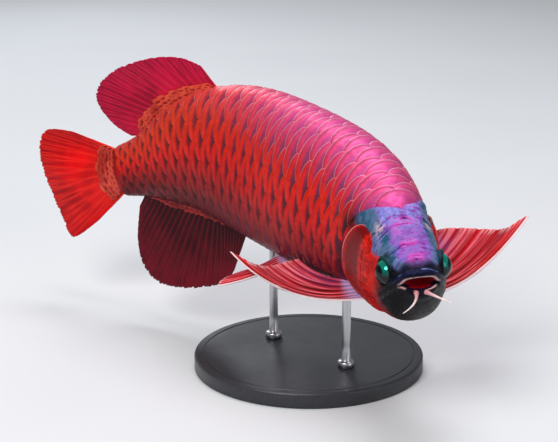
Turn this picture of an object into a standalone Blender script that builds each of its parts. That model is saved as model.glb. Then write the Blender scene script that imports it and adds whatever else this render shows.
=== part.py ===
# Asian arowana, a life-size still model swimming on a display stand
# Metres, +Z up. The origin is the centre of the base's underside.
import math

import bmesh
import bpy
import numpy as np
from mathutils import Vector
from mathutils.bvhtree import BVHTree

for item in list(bpy.data.objects):
    bpy.data.objects.remove(item, do_unlink=True)

# Whole fish: length from the snout to the root of the tail fin
LENGTH = 0.47
GAP = 0.0003
CENTRE_HEIGHT = 0.176
BALANCE_STATION = 0.47

# The bend of the swimming body: stations are fractions of LENGTH from the snout
HEADING = {0: -85, 0.20: -71, 0.35: -50, 0.50: -50, 0.65: -38, 0.82: -34, 1.0: -37, 1.18: -25}
PITCH = {0: 0, 0.22: -19, 0.42: -6, 0.62: -5, 0.82: 19, 1.0: 16, 1.18: 20}
ROLL = {0: 5, 0.5: 1, 1.18: -5}

# Profile of the body, in fractions of LENGTH: back, belly and half width
BACK = {0: 0.063, 0.04: 0.072, 0.09: 0.081, 0.15: 0.092, 0.22: 0.105, 0.30: 0.125,
        0.40: 0.140, 0.52: 0.146, 0.64: 0.142, 0.74: 0.124, 0.84: 0.093, 0.92: 0.064, 1.0: 0.049}
BELLY = {0: -0.008, 0.04: -0.050, 0.09: -0.085, 0.15: -0.111, 0.22: -0.127, 0.30: -0.142,
         0.40: -0.156, 0.52: -0.160, 0.64: -0.150, 0.74: -0.129, 0.84: -0.091, 0.92: -0.062, 1.0: -0.049}
HALF_WIDTH = {0: 0.032, 0.04: 0.049, 0.09: 0.057, 0.15: 0.066, 0.22: 0.074, 0.30: 0.085,
              0.40: 0.092, 0.52: 0.089, 0.64: 0.077, 0.74: 0.059, 0.84: 0.038, 0.92: 0.021, 1.0: 0.011}
SECTION_POWER = 2.2

# Scales: rows run along the body, columns across it
FIRST_COLUMN = 0.2475
COLUMN_STEP = 0.01625
COLUMNS = 46
SCALE_ROWS = 16
ARC_STEPS = 4
SCALE_ARC = 0.8
SCALE_HEIGHT = 0.0009
EDGE_RUN = 0.0008

# Where the body is parted
HEAD_END = 0.200
TRUNK_PARTS = {"trunk_front": (0.200, 0.44), "trunk_rear": (0.44, 0.66),
               "tail_front": (0.66, 0.84), "tail_rear": (0.84, 1.0)}

# Head
SNOUT_REACH = 0.021
HEAD_STEPS = 36
EYE_PLACE = (0.064, 0.0415, 0.030)
EYE_RADIUS = 0.0118
LID_RADIUS = 0.0016
UPPER_LIP = ((-0.05, 0.046), (-0.02, 0.044), (-0.008, 0.038), (0.002, 0.029), (0.014, 0.0215),
             (0.03, 0.0115), (0.065, -0.0125), (0.100, -0.038))
LOWER_LIP = ((-0.05, 0.020), (-0.02, 0.022), (-0.008, 0.0235), (0.002, 0.0232), (0.014, 0.0195),
             (0.03, 0.0098), (0.065, -0.0142), (0.0985, -0.0397))
JAW_REAR = (0.150, -0.150)
NOSTRILS = ((0.012, 0.019, 0.0014), (0.030, 0.027, 0.0011))
BARBEL_BASE = (-0.0188, 0.009, 0.0165)
BARBEL_BENDS = {"left": ((0.008, 0.009, -0.0035), (0.012, 0.018, -0.007)),
                "right": ((0.008, 0.0004, -0.0064), (0.012, 0.0135, -0.0113))}
BARBEL_RADIUS = 0.0011

COVER_TOP = 38

# Fins
RAY_RIDGE = 0.6
MEMBRANE = 0.0009
DORSAL_BASE = (0.704, 0.905)
ANAL_BASE = (0.632, 0.930)
PECTORAL_BASE = ((0.207, -74), (0.252, -50))
PELVIC_BASE = ((0.466, -70), (0.494, -66))

# Display stand
BASE_RADIUS = 0.105
BASE_THICKNESS = 0.014
ROD_RADIUS = 0.004
ROD_STATIONS = (0.36, 0.575)


def smooth_curve(knots, at):
    x = np.array(list(knots.keys()), float)
    y = np.array(list(knots.values()), float)
    at = np.clip(at, x[0], x[-1])
    slope = np.gradient(y, x)
    k = np.clip(np.searchsorted(x, at) - 1, 0, len(x) - 2)
    h = x[k + 1] - x[k]
    u = (at - x[k]) / h
    start = (1 + 2 * u) * (1 - u) ** 2 * y[k] + u * (1 - u) ** 2 * h * slope[k]
    return start + u * u * (3 - 2 * u) * y[k + 1] + u * u * (u - 1) * h * slope[k + 1]


def body_frames():
    stations = np.linspace(-0.06, 1.30, 273)
    heading = np.radians(smooth_curve(HEADING, stations))
    pitch = np.radians(smooth_curve(PITCH, stations))
    roll = np.radians(smooth_curve(ROLL, stations))[:, None]
    ahead = np.stack([np.cos(pitch) * np.cos(heading), np.cos(pitch) * np.sin(heading), np.sin(pitch)], -1)
    level = np.stack([-np.sin(heading), np.cos(heading), 0 * heading], -1)
    upright = np.cross(ahead, level)
    left = np.cos(roll) * level + np.sin(roll) * upright
    up = np.cos(roll) * upright - np.sin(roll) * level
    centre = np.zeros((len(stations), 3))
    run = (ahead[1:] + ahead[:-1]) / 2 * np.diff(stations)[:, None]
    centre[1:] = np.cumsum(-run, 0) * LENGTH
    middle = [np.interp(0.5, stations, centre[:, k]) for k in range(3)]
    balance = [np.interp(BALANCE_STATION, stations, centre[:, k]) for k in range(3)]
    centre -= np.array([balance[0], balance[1], middle[2] - CENTRE_HEIGHT])
    return stations, centre, ahead, left, up


STATIONS, CENTRE, AHEAD, LEFT, UP = body_frames()


def frame_at(t):
    def pick(rows):
        return Vector([float(np.interp(t, STATIONS, rows[:, k])) for k in range(3)])
    return pick(CENTRE), pick(AHEAD), pick(LEFT), pick(UP)


# Body coordinates: station t, then sideways to the fish's left and up, all over LENGTH
def place(t, side, height):
    centre, _, left, up = frame_at(t)
    return centre + left * (side * LENGTH) + up * (height * LENGTH)


def girth(t, angle):
    top = float(smooth_curve(BACK, t))
    low = float(smooth_curve(BELLY, t))
    width = float(smooth_curve(HALF_WIDTH, t))
    if t < 0.01:
        closing = math.sqrt(max(0.0004, 1 - ((0.01 - t) / (0.01 + SNOUT_REACH)) ** 2))
        middle = (top + low) / 2
        top = middle + (top - middle) * closing
        low = middle + (low - middle) * closing
        width *= closing
    c = math.cos(angle)
    s = math.sin(angle)
    side = width * math.copysign(abs(c) ** (2 / SECTION_POWER), c)
    height = (top + low) / 2 + (top - low) / 2 * math.copysign(abs(s) ** (2 / SECTION_POWER), s)
    return side, height


def on_skin(t, angle, lift=0.0):
    side, height = girth(t, angle)
    step = 0.02
    ahead = Vector(girth(t, angle + step))
    behind = Vector(girth(t, angle - step))
    along = (ahead - behind).normalized()
    side += along.y * lift / LENGTH
    height -= along.x * lift / LENGTH
    return place(t, side, height)


def collection_named(name):
    group = bpy.data.collections.new(name)
    bpy.context.scene.collection.children.link(group)
    return group


FISH = collection_named("asian_arowana")
TOOLS = collection_named("cutters")


def material(name, colour, roughness, metallic=0.0):
    made = bpy.data.materials.new(name)
    made.use_nodes = True
    shader = made.node_tree.nodes["Principled BSDF"]
    shader.inputs["Base Color"].default_value = (*colour, 1)
    shader.inputs["Roughness"].default_value = roughness
    shader.inputs["Metallic"].default_value = metallic
    made.diffuse_color = (*colour, 1)
    return made


SCALE_RED = material("scale_red", (0.62, 0.06, 0.06), 0.32)
CROWN = material("head_violet", (0.28, 0.12, 0.30), 0.38)
COVER_RED = material("gill_cover_red", (0.55, 0.05, 0.04), 0.30)
FIN_RED = material("fin_crimson", (0.55, 0.03, 0.07), 0.42)
PALE = material("barbel_pale", (0.70, 0.62, 0.60), 0.45)
EYE_DARK = material("eye_dark", (0.02, 0.04, 0.05), 0.08)
PLATE = material("stand_graphite", (0.05, 0.05, 0.055), 0.45)
STEEL = material("rod_steel", (0.55, 0.55, 0.56), 0.30, 1.0)


def add_object(name, shape, surface, group=FISH):
    mesh = bpy.data.meshes.new(name)
    shape.to_mesh(mesh)
    shape.free()
    mesh.materials.append(surface)
    mesh.shade_smooth()
    mesh.set_sharp_from_angle(angle=math.radians(35))
    made = bpy.data.objects.new(name, mesh)
    group.objects.link(made)
    if group is TOOLS:
        made.hide_render = True
        made.display_type = "WIRE"
    return made


# A tube of rings: point(ring, step) gives each place, both ends are closed
def ringed_shape(rings, steps, point):
    shape = bmesh.new()
    bmesh.ops.create_grid(shape, x_segments=rings - 1, y_segments=steps, size=1)
    shape.verts.ensure_lookup_table()
    for vert in shape.verts:
        ring = round((vert.co.x + 1) / 2 * (rings - 1))
        step = round((vert.co.y + 1) / 2 * steps)
        vert.co = point(ring, step % steps)
    bmesh.ops.remove_doubles(shape, verts=shape.verts, dist=1e-7)
    open_edges = [edge for edge in shape.edges if edge.is_boundary]
    bmesh.ops.holes_fill(shape, edges=open_edges, sides=0)
    caps = [face for face in shape.faces if len(face.verts) > 4]
    bmesh.ops.triangulate(shape, faces=caps)
    shape.normal_update()
    bmesh.ops.recalc_face_normals(shape, faces=shape.faces)
    return shape


def keep_largest(made):
    shape = bmesh.new()
    shape.from_mesh(made.data)
    bmesh.ops.remove_doubles(shape, verts=shape.verts, dist=1e-6)
    left_over = set(shape.verts)
    groups = []
    while left_over:
        group = set()
        edge_of = [left_over.pop()]
        while edge_of:
            vert = edge_of.pop()
            group.add(vert)
            for edge in vert.link_edges:
                other = edge.other_vert(vert)
                if other in left_over:
                    left_over.remove(other)
                    edge_of.append(other)
        groups.append(group)
    groups.sort(key=len)
    for group in groups[:-1]:
        bmesh.ops.delete(shape, geom=list(group), context="VERTS")
    shape.to_mesh(made.data)
    shape.free()


def apply_boolean(made, tool, operation):
    cut = made.modifiers.new(operation.lower(), "BOOLEAN")
    cut.operation = operation
    cut.solver = "EXACT"
    if isinstance(tool, bpy.types.Collection):
        cut.operand_type = "COLLECTION"
        cut.collection = tool
    else:
        cut.object = tool
    bpy.context.view_layer.update()
    view = made.evaluated_get(bpy.context.evaluated_depsgraph_get())
    made.modifiers.clear()
    mesh = bpy.data.meshes.new_from_object(view)
    old = made.data
    made.data = mesh
    bpy.data.meshes.remove(old)
    keep_largest(made)


# A slab with a side outline in body coordinates, for parting jaws from the head
def outline_slab(name, outline, half_width):
    shape = bmesh.new()
    corners = [shape.verts.new((t, -half_width, z)) for t, z in outline]
    face = shape.faces.new(corners)
    pushed = bmesh.ops.extrude_face_region(shape, geom=[face])
    for item in pushed["geom"]:
        if isinstance(item, bmesh.types.BMVert):
            item.co.y = half_width
    bmesh.ops.recalc_face_normals(shape, faces=shape.faces)
    for vert in shape.verts:
        vert.co = place(*vert.co)
    shape.normal_update()
    bmesh.ops.recalc_face_normals(shape, faces=shape.faces)
    return add_object(name, shape, PLATE, TOOLS)


def ball(name, centre, radii, axes, surface, group=FISH, segments=16, rings=10):
    shape = bmesh.new()
    bmesh.ops.create_uvsphere(shape, u_segments=segments, v_segments=rings, radius=1)
    for vert in shape.verts:
        x, y, z = vert.co
        vert.co = centre + axes[0] * (x * radii[0]) + axes[1] * (y * radii[1]) + axes[2] * (z * radii[2])
    shape.normal_update()
    bmesh.ops.recalc_face_normals(shape, faces=shape.faces)
    return add_object(name, shape, surface, group)


def tree_of(made):
    shape = bmesh.new()
    shape.from_mesh(made.data)
    tree = BVHTree.FromBMesh(shape)
    shape.free()
    return tree


# Scales are one relief: each column line is a row of arcs, raised before it and lower behind
def scale_line(column, step):
    rows_from_back = step / (ARC_STEPS / 2) - SCALE_ROWS / 4
    from_arc = (rows_from_back + column) % 2
    from_arc = min(from_arc, 2 - from_arc)
    arc = math.sqrt(max(0, 1 - from_arc ** 2))
    return FIRST_COLUMN + COLUMN_STEP * (column + SCALE_ARC * (arc - 0.5))


def relief_share(t, angle):
    from_back = abs(math.degrees(angle) - 90)
    from_belly = abs(math.degrees(angle) - 270)
    if DORSAL_BASE[0] - 0.03 < t and from_back < 8:
        return 0
    if ANAL_BASE[0] - 0.03 < t and from_belly < 8:
        return 0
    if t < 0.28 and from_belly < 52:
        return 0
    if abs(t - 0.49) < 0.05 and from_belly < 34:
        return 0
    return 1


def make_trunk():
    steps = SCALE_ROWS * ARC_STEPS // 2
    start = [HEAD_END - 0.01, HEAD_END + 0.012]
    rings = len(start) + 2 * COLUMNS + 1

    def point(ring, step):
        angle = 2 * math.pi * step / steps
        if ring < len(start):
            return on_skin(start[ring], angle)
        if ring == rings - 1:
            return on_skin(1.0, angle)
        column, behind = divmod(ring - len(start), 2)
        t = scale_line(column, step)
        lift = SCALE_HEIGHT * relief_share(t, angle)
        if behind:
            return on_skin(t + EDGE_RUN, angle, lift * 0.3)
        return on_skin(t, angle, lift)

    return ringed_shape(rings, steps, point)


def part_by_planes(name, whole, start, end, surface):
    shape = whole.copy()
    for t, keep in ((start, 1), (end, -1)):
        if t is None:
            continue
        centre, ahead, _, _ = frame_at(t)
        inside = -ahead * keep
        spot = centre + inside * (GAP / 2)
        parts = list(shape.verts) + list(shape.edges) + list(shape.faces)
        bmesh.ops.bisect_plane(shape, geom=parts, dist=1e-6, plane_co=spot, plane_no=inside, clear_inner=True)
        rim = [edge for edge in shape.edges if edge.is_boundary]
        bmesh.ops.holes_fill(shape, edges=rim, sides=0)
    bmesh.ops.triangulate(shape, faces=shape.faces)
    bmesh.ops.dissolve_degenerate(shape, dist=1e-6, edges=shape.edges)
    bmesh.ops.recalc_face_normals(shape, faces=shape.faces)
    return add_object(name, shape, surface)


whole_trunk = make_trunk()
TRUNK = {}
for part_name, (part_start, part_end) in TRUNK_PARTS.items():
    last = None if part_end == 1.0 else part_end
    TRUNK[part_name] = part_by_planes(part_name, whole_trunk, part_start, last, SCALE_RED)
whole_trunk.free()


# Head, modelled whole, then parted from the jaw
def head_surface():
    stations = [-0.021, -0.0195, -0.016, -0.010, -0.002] + list(np.arange(0.008, HEAD_END - 0.004, 0.012))
    stations.append(HEAD_END + 0.006)

    def point(ring, step):
        return on_skin(float(stations[ring]), 2 * math.pi * step / HEAD_STEPS)

    return ringed_shape(len(stations), HEAD_STEPS, point)


def make_head():
    whole = head_surface()
    head = part_by_planes("head", whole, None, HEAD_END, CROWN)
    jaw = part_by_planes("lower_jaw", whole, None, HEAD_END, CROWN)
    whole.free()
    under = ((JAW_REAR[0], JAW_REAR[1]), (-0.05, JAW_REAR[1]))
    off_head = outline_slab("under_upper_lip", UPPER_LIP + under, 0.12)
    rear = (JAW_REAR[0] - 0.0012, JAW_REAR[1])
    of_jaw = outline_slab("jaw_zone", LOWER_LIP + (rear, (-0.05, JAW_REAR[1])), 0.12)
    _, ahead, left, up = frame_at(0.05)
    axes = (ahead, left, up)
    sizes = [LENGTH * share for share in (0.028, 0.023, 0.011)]
    mouth = ball("mouth_hollow", place(0.010, 0, 0.031), sizes, axes, PLATE, TOOLS)
    apply_boolean(head, off_head, "DIFFERENCE")
    apply_boolean(jaw, of_jaw, "INTERSECT")
    apply_boolean(head, mouth, "DIFFERENCE")
    apply_boolean(jaw, mouth, "DIFFERENCE")
    return head, jaw


HEAD, JAW = make_head()


# Eyes in their sockets, each with a raised lid rim, and the nostrils
def finish_head():
    t, side, height = EYE_PLACE
    for label, sign in (("left", 1), ("right", -1)):
        _, ahead, left, up = frame_at(t)
        outward = (left * sign + ahead * 0.25 + up * 0.12).normalized()
        across = up.cross(outward).normalized()
        axes = (across, up, outward)
        centre = place(t, side * sign, height)
        lids = collection_named("lid_ring_" + label)
        bpy.ops.mesh.primitive_torus_add(major_radius=EYE_RADIUS * 0.93, minor_radius=LID_RADIUS,
                                         major_segments=18, minor_segments=6)
        ring = bpy.context.object
        ring.name = "lid_" + label
        ring.data.transform(outward.to_track_quat("Z", "Y").to_matrix().to_4x4())
        ring.location = centre + outward * (EYE_RADIUS * 0.42)
        for group in list(ring.users_collection):
            group.objects.unlink(ring)
        lids.objects.link(ring)
        apply_boolean(HEAD, lids, "UNION")
        bpy.data.objects.remove(ring, do_unlink=True)
        bpy.data.collections.remove(lids)
        reach = EYE_RADIUS + GAP
        socket = ball("socket_" + label, centre, [reach] * 3, axes, PLATE, TOOLS)
        apply_boolean(HEAD, socket, "DIFFERENCE")
        ball("eye_" + label, centre, [EYE_RADIUS] * 3, axes, EYE_DARK)
        for number, (at, off, size) in enumerate(NOSTRILS):
            angle = math.acos(min(1, off / float(smooth_curve(HALF_WIDTH, at))))
            spot = on_skin(at, angle if sign > 0 else math.pi - angle)
            pit = ball("nostril_%s_%d" % (label, number), spot, [size] * 3, axes, PLATE, TOOLS, 8, 6)
            apply_boolean(HEAD, pit, "DIFFERENCE")


finish_head()


# Gill covers: curved plates that lie on the head and stand off at the rear rim
def make_gill_cover(label, sign, flare):
    across = 11
    along = 9
    shape = bmesh.new()
    bmesh.ops.create_grid(shape, x_segments=along, y_segments=across, size=0.5)
    weights = {}
    for vert in shape.verts:
        u = vert.co.x + 0.5
        v = vert.co.y + 0.5
        angle = math.radians(COVER_TOP - (COVER_TOP + 76) * v)
        rim = 0.187 + 0.050 * math.sin(math.pi * v ** 0.75)
        front = 0.118 + 0.016 * (1 - math.sin(math.pi * v))
        t = front + (rim - front) * u
        lift = 0.0006 + flare * u ** 2.2
        vert.co = on_skin(t, angle if sign > 0 else math.pi - angle, lift)
        weights[vert.index] = 0.35 + 0.65 * min(1, u * 3) * min(1, (1 - u) * 6 + 0.35)
    bmesh.ops.triangulate(shape, faces=shape.faces)
    shape.normal_update()
    shape.faces.ensure_lookup_table()
    middle = shape.faces[len(shape.faces) // 2]
    if middle.normal.dot(middle.calc_center_median() - place(0.19, 0, 0)) < 0:
        bmesh.ops.reverse_faces(shape, faces=shape.faces)
    made = add_object("gill_cover_" + label, shape, COVER_RED)
    share = made.vertex_groups.new(name="thickness")
    for index, weight in weights.items():
        share.add([index], weight, "REPLACE")
    thick = made.modifiers.new("thickness", "SOLIDIFY")
    thick.thickness = 0.0022
    thick.offset = 1
    thick.vertex_group = "thickness"
    return made


make_gill_cover("left", 1, 0.0008)
make_gill_cover("right", -1, 0.0022)


# A fin: rays fan from the root to the margin; the skin between them is thinner
def make_fin(name, rays, rows, root, tip, sag, root_thickness=0.0022, skins=(), clearance=GAP):
    shape = bmesh.new()
    columns = 2 * rays - 1
    bmesh.ops.create_grid(shape, x_segments=columns - 1, y_segments=rows, size=0.5)
    weights = {}
    for vert in shape.verts:
        column = round((vert.co.x + 0.5) * (columns - 1))
        row = (vert.co.y + 0.5)
        u = column / (columns - 1)
        on_ray = column % 2 == 0
        start = root(u)
        end = tip(u, on_ray)
        vert.co = start.lerp(end, row) + sag(u) * (4 * row * (1 - row))
        taper = 1 - 0.72 * row
        membrane = (MEMBRANE + (root_thickness - MEMBRANE) * max(0, 1 - row * 5)) / root_thickness
        ridge = RAY_RIDGE * taper if on_ray else 0
        weights[vert.index] = max(0.0005 / root_thickness, membrane * (1 - 0.4 * row) + ridge)
    bmesh.ops.triangulate(shape, faces=shape.faces)
    bmesh.ops.recalc_face_normals(shape, faces=shape.faces)
    made = add_object(name, shape, FIN_RED)
    share = made.vertex_groups.new(name="thickness")
    for index, weight in weights.items():
        share.add([index], min(1, weight), "REPLACE")
    thick = made.modifiers.new("thickness", "SOLIDIFY")
    thick.thickness = root_thickness
    thick.offset = 0
    thick.vertex_group = "thickness"
    bpy.context.view_layer.update()
    view = made.evaluated_get(bpy.context.evaluated_depsgraph_get())
    made.modifiers.clear()
    made.data = bpy.data.meshes.new_from_object(view)
    for skin in skins:
        tree = tree_of(skin)
        for vert in made.data.vertices:
            spot, normal, _, distance = tree.find_nearest(vert.co)
            depth = (vert.co - spot).dot(normal)
            if distance < 0.006 and depth < clearance:
                vert.co = spot + normal * clearance
    return made


def along_outline(outline, u):
    outline = [Vector(point) for point in outline]
    place_on = u * (len(outline) - 1)
    k = min(int(place_on), len(outline) - 2)
    before = outline[max(k - 1, 0)]
    after = outline[min(k + 2, len(outline) - 1)]
    w = place_on - k
    a = outline[k]
    b = outline[k + 1]
    curve = (b - before) * 0.5
    leave = (after - a) * 0.5
    near = a * (2 * w ** 3 - 3 * w ** 2 + 1) + curve * (w ** 3 - 2 * w ** 2 + w)
    return near + b * (3 * w ** 2 - 2 * w ** 3) + leave * (w ** 3 - w ** 2)


NOTCH = 0.03


def make_median_fin(name, rays, base, outline, edge, sign, skins):
    def root(u):
        t = base[0] + (base[1] - base[0]) * u
        return place(t, 0, float(smooth_curve(edge, t)))

    def tip(u, on_ray):
        t, height = along_outline(outline, u)
        t_root = base[0] + (base[1] - base[0]) * u
        short = 0 if on_ray or u in (0, 1) else NOTCH
        low = float(smooth_curve(edge, t_root))
        return place(t + (t_root - t) * short, 0, height + (low - height) * short)

    def sag(u):
        return Vector((0, 0, 0))

    return make_fin(name, rays, 7, root, tip, sag, skins=skins, clearance=GAP * 2)


DORSAL_MARGIN = ((0.734, 0.176), (0.770, 0.197), (0.826, 0.210), (0.900, 0.212), (0.965, 0.204),
                 (1.010, 0.180), (1.017, 0.145), (0.985, 0.100), (0.938, 0.068))
ANAL_MARGIN = ((0.655, -0.196), (0.690, -0.240), (0.750, -0.262), (0.821, -0.270), (0.897, -0.262),
               (0.950, -0.240), (0.977, -0.200), (0.978, -0.145), (0.955, -0.078))
tail_skins = (TRUNK["trunk_rear"], TRUNK["tail_front"], TRUNK["tail_rear"])
make_median_fin("dorsal_fin", 20, DORSAL_BASE, DORSAL_MARGIN, BACK, 1, tail_skins)
make_median_fin("anal_fin", 26, ANAL_BASE, ANAL_MARGIN, BELLY, -1, tail_skins)

CAUDAL_MARGIN = ((1.100, 0.102), (1.156, 0.119), (1.183, 0.104), (1.197, 0.062), (1.194, 0.000),
                 (1.184, -0.062), (1.176, -0.112), (1.150, -0.117), (1.085, -0.096))


def make_caudal_fin():
    reach = 0.047

    def root(u):
        return place(1.0 + GAP * 2 / LENGTH, 0, reach * (1 - 2 * u))

    def tip(u, on_ray):
        t, height = along_outline(CAUDAL_MARGIN, u)
        short = 0 if on_ray or u in (0, 1) else NOTCH
        return place(t - (t - 1) * short, 0, height * (1 - short * 0.5))

    def sag(u):
        _, _, left, _ = frame_at(1.1)
        return left * (0.0045 * math.sin(3 * math.pi * u))

    return make_fin("caudal_fin", 15, 7, root, tip, sag, 0.0026, (TRUNK["tail_rear"],), GAP)


make_caudal_fin()

# Paired fins: tips in body coordinates seen from the shoulder, front ray first
RIGHT_PECTORAL = ((0.479, -0.191, -0.167), (0.470, -0.178, -0.173), (0.447, -0.163, -0.176),
                  (0.420, -0.148, -0.169), (0.395, -0.135, -0.152), (0.374, -0.123, -0.132),
                  (0.352, -0.111, -0.113))
LEFT_PECTORAL = ((0.264, 0.333, -0.041), (0.272, 0.318, -0.056), (0.268, 0.290, -0.066),
                 (0.275, 0.255, -0.068), (0.288, 0.214, -0.066), (0.298, 0.175, -0.064),
                 (0.306, 0.135, -0.070))
SHOULDER = 0.25
RIGHT_SAG = (0.006, -0.004, -0.052)
LEFT_SAG = (-0.014, 0.0, -0.060)
PELVIC_TIPS = ((0.562, 0.142, -0.216), (0.572, 0.126, -0.212), (0.572, 0.106, -0.206),
               (0.562, 0.086, -0.198), (0.548, 0.068, -0.190))
HIP = 0.5
PELVIC_SAG = (0.0, 0.004, -0.008)


def from_frame(station, point):
    centre, ahead, left, up = frame_at(station)
    back, side, height = point
    return centre - ahead * ((back - station) * LENGTH) + left * (side * LENGTH) + up * (height * LENGTH)


def make_paired_fin(name, rays, rows, base, tips, sag_by, station, sign, skin, thickness):
    def root(u):
        t = base[0][0] + (base[1][0] - base[0][0]) * u
        angle = math.radians(base[0][1] + (base[1][1] - base[0][1]) * u)
        return on_skin(t, angle if sign > 0 else math.pi - angle, -0.0004)

    def tip(u, on_ray):
        end = from_frame(station, along_outline(tips, u))
        return end if on_ray else end.lerp(root(u), 0.055)

    def sag(u):
        _, ahead, left, up = frame_at(station)
        pull = Vector(sag_by) * (LENGTH * (1 - 0.75 * u))
        return left * pull.y + up * pull.z - ahead * pull.x

    return make_fin(name, rays, rows, root, tip, sag, thickness, (skin,), GAP * 2)


front = TRUNK["trunk_front"]
rear = TRUNK["trunk_rear"]
make_paired_fin("pectoral_fin_right", 7, 10, PECTORAL_BASE, RIGHT_PECTORAL, RIGHT_SAG, SHOULDER, -1, front, 0.0030)
make_paired_fin("pectoral_fin_left", 7, 10, PECTORAL_BASE, LEFT_PECTORAL, LEFT_SAG, SHOULDER, 1, front, 0.0030)
right_tips = [(t, -side, height) for t, side, height in PELVIC_TIPS]
left_tips = [(t + 0.012, side * 0.66, height + 0.004) for t, side, height in PELVIC_TIPS]
make_paired_fin("pelvic_fin_left", 6, 6, PELVIC_BASE, left_tips, PELVIC_SAG, HIP, 1, rear, 0.0020)
make_paired_fin("pelvic_fin_right", 6, 6, PELVIC_BASE, right_tips, (0, -0.004, -0.008), HIP, -1, rear, 0.0020)


# Barbels: tapered feelers at the tip of the chin
def make_barbel(label, sign):
    _, ahead, left, up = frame_at(-0.01)
    route = bpy.data.curves.new("barbel_" + label, "CURVE")
    route.dimensions = "3D"
    route.bevel_depth = BARBEL_RADIUS
    route.bevel_resolution = 1
    route.use_fill_caps = True
    line = route.splines.new("POLY")
    steps = 7
    line.points.add(steps - 1)
    base = place(BARBEL_BASE[0], BARBEL_BASE[1] * sign, BARBEL_BASE[2])
    bend, tip = (ahead * x + left * (sign * y) + up * z for x, y, z in BARBEL_BENDS[label])
    for k in range(steps):
        w = k / (steps - 1)
        spot = base + bend * (2 * w * (1 - w)) + tip * (w * w)
        line.points[k].co = (*spot, 1)
        line.points[k].radius = 1 - 0.7 * w
    holder = bpy.data.objects.new("barbel_curve_" + label, route)
    FISH.objects.link(holder)
    bpy.context.view_layer.update()
    view = holder.evaluated_get(bpy.context.evaluated_depsgraph_get())
    mesh = bpy.data.meshes.new_from_object(view)
    bpy.data.objects.remove(holder, do_unlink=True)
    shape = bmesh.new()
    shape.from_mesh(mesh)
    bmesh.ops.remove_doubles(shape, verts=shape.verts, dist=1e-6)
    bmesh.ops.recalc_face_normals(shape, faces=shape.faces)
    tree = tree_of(JAW)
    for vert in shape.verts:
        spot, normal, _, distance = tree.find_nearest(vert.co)
        if distance < 0.004 and (vert.co - spot).dot(normal) < GAP:
            vert.co = spot + normal * GAP
    return add_object("barbel_" + label, shape, PALE)


make_barbel("left", 1)
make_barbel("right", -1)


# Display stand: a round base and two rods whose tops follow the belly
def make_stand():
    bpy.ops.mesh.primitive_cylinder_add(vertices=48, radius=BASE_RADIUS, depth=BASE_THICKNESS,
                                        location=(0, 0, BASE_THICKNESS / 2))
    base = bpy.context.object
    base.name = "stand_base"
    rounded = base.modifiers.new("edge", "BEVEL")
    rounded.width = 0.002
    rounded.segments = 1
    rounded.limit_method = "ANGLE"
    base.data.materials.append(PLATE)
    for group in list(base.users_collection):
        group.objects.unlink(base)
    FISH.objects.link(base)
    for number, station in enumerate(ROD_STATIONS):
        spot = place(station, 0, 0)
        skin = front if station < TRUNK_PARTS["trunk_front"][1] else rear
        tree = tree_of(skin)
        shape = bmesh.new()
        bmesh.ops.create_cone(shape, cap_ends=True, cap_tris=True, segments=16, radius1=ROD_RADIUS,
                              radius2=ROD_RADIUS, depth=1)
        for vert in shape.verts:
            upper = vert.co.z > 0
            vert.co.x += spot.x
            vert.co.y += spot.y
            vert.co.z = BASE_THICKNESS + GAP
            if upper:
                hit, _, _, _ = tree.ray_cast(vert.co, Vector((0, 0, 1)))
                vert.co.z = hit.z - GAP * 2
        add_object("stand_rod_" + ("front", "rear")[number], shape, STEEL)


make_stand()
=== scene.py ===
import math

import bmesh
import bpy
import numpy as np
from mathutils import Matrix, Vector


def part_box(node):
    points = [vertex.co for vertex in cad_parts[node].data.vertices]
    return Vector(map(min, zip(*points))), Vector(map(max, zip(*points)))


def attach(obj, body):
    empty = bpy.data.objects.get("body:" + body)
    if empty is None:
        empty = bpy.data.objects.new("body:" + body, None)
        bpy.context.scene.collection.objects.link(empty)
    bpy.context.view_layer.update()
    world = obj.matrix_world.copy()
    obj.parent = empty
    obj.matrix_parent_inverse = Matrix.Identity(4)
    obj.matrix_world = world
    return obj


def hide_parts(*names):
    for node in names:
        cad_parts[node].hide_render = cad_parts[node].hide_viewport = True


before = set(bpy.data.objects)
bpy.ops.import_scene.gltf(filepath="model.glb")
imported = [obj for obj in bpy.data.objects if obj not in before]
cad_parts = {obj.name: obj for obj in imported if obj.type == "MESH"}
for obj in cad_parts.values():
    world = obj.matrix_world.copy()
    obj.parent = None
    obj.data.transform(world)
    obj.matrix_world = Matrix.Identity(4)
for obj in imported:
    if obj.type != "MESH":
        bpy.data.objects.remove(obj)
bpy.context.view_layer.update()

# the swimming body: every station is a share of the length from the snout
body = {
    "length": 0.47,
    "centreHeight": 0.176,
    "balanceStation": 0.47,
    "heading": {0: -85, 0.20: -71, 0.35: -50, 0.50: -50, 0.65: -38, 0.82: -34, 1.0: -37, 1.18: -25},
    "pitch": {0: 0, 0.22: -19, 0.42: -6, 0.62: -5, 0.82: 19, 1.0: 16, 1.18: 20},
    "roll": {0: 5, 0.5: 1, 1.18: -5},
    "back": {0: 0.063, 0.04: 0.072, 0.09: 0.081, 0.15: 0.092, 0.22: 0.105, 0.30: 0.125, 0.40: 0.140,
             0.52: 0.146, 0.64: 0.142, 0.74: 0.124, 0.84: 0.093, 0.92: 0.064, 1.0: 0.049},
    "belly": {0: -0.008, 0.04: -0.050, 0.09: -0.085, 0.15: -0.111, 0.22: -0.127, 0.30: -0.142, 0.40: -0.156,
              0.52: -0.160, 0.64: -0.150, 0.74: -0.129, 0.84: -0.091, 0.92: -0.062, 1.0: -0.049},
    "halfWidth": {0: 0.032, 0.04: 0.049, 0.09: 0.057, 0.15: 0.066, 0.22: 0.074, 0.30: 0.085, 0.40: 0.092,
                  0.52: 0.089, 0.64: 0.077, 0.74: 0.059, 0.84: 0.038, 0.92: 0.021, 1.0: 0.011},
    "sectionPower": 2.2,
    "snoutReach": 0.021,
    "snoutStart": 0.01,      # where the section begins to close towards the tip
}
fishLength = body["length"]


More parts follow.
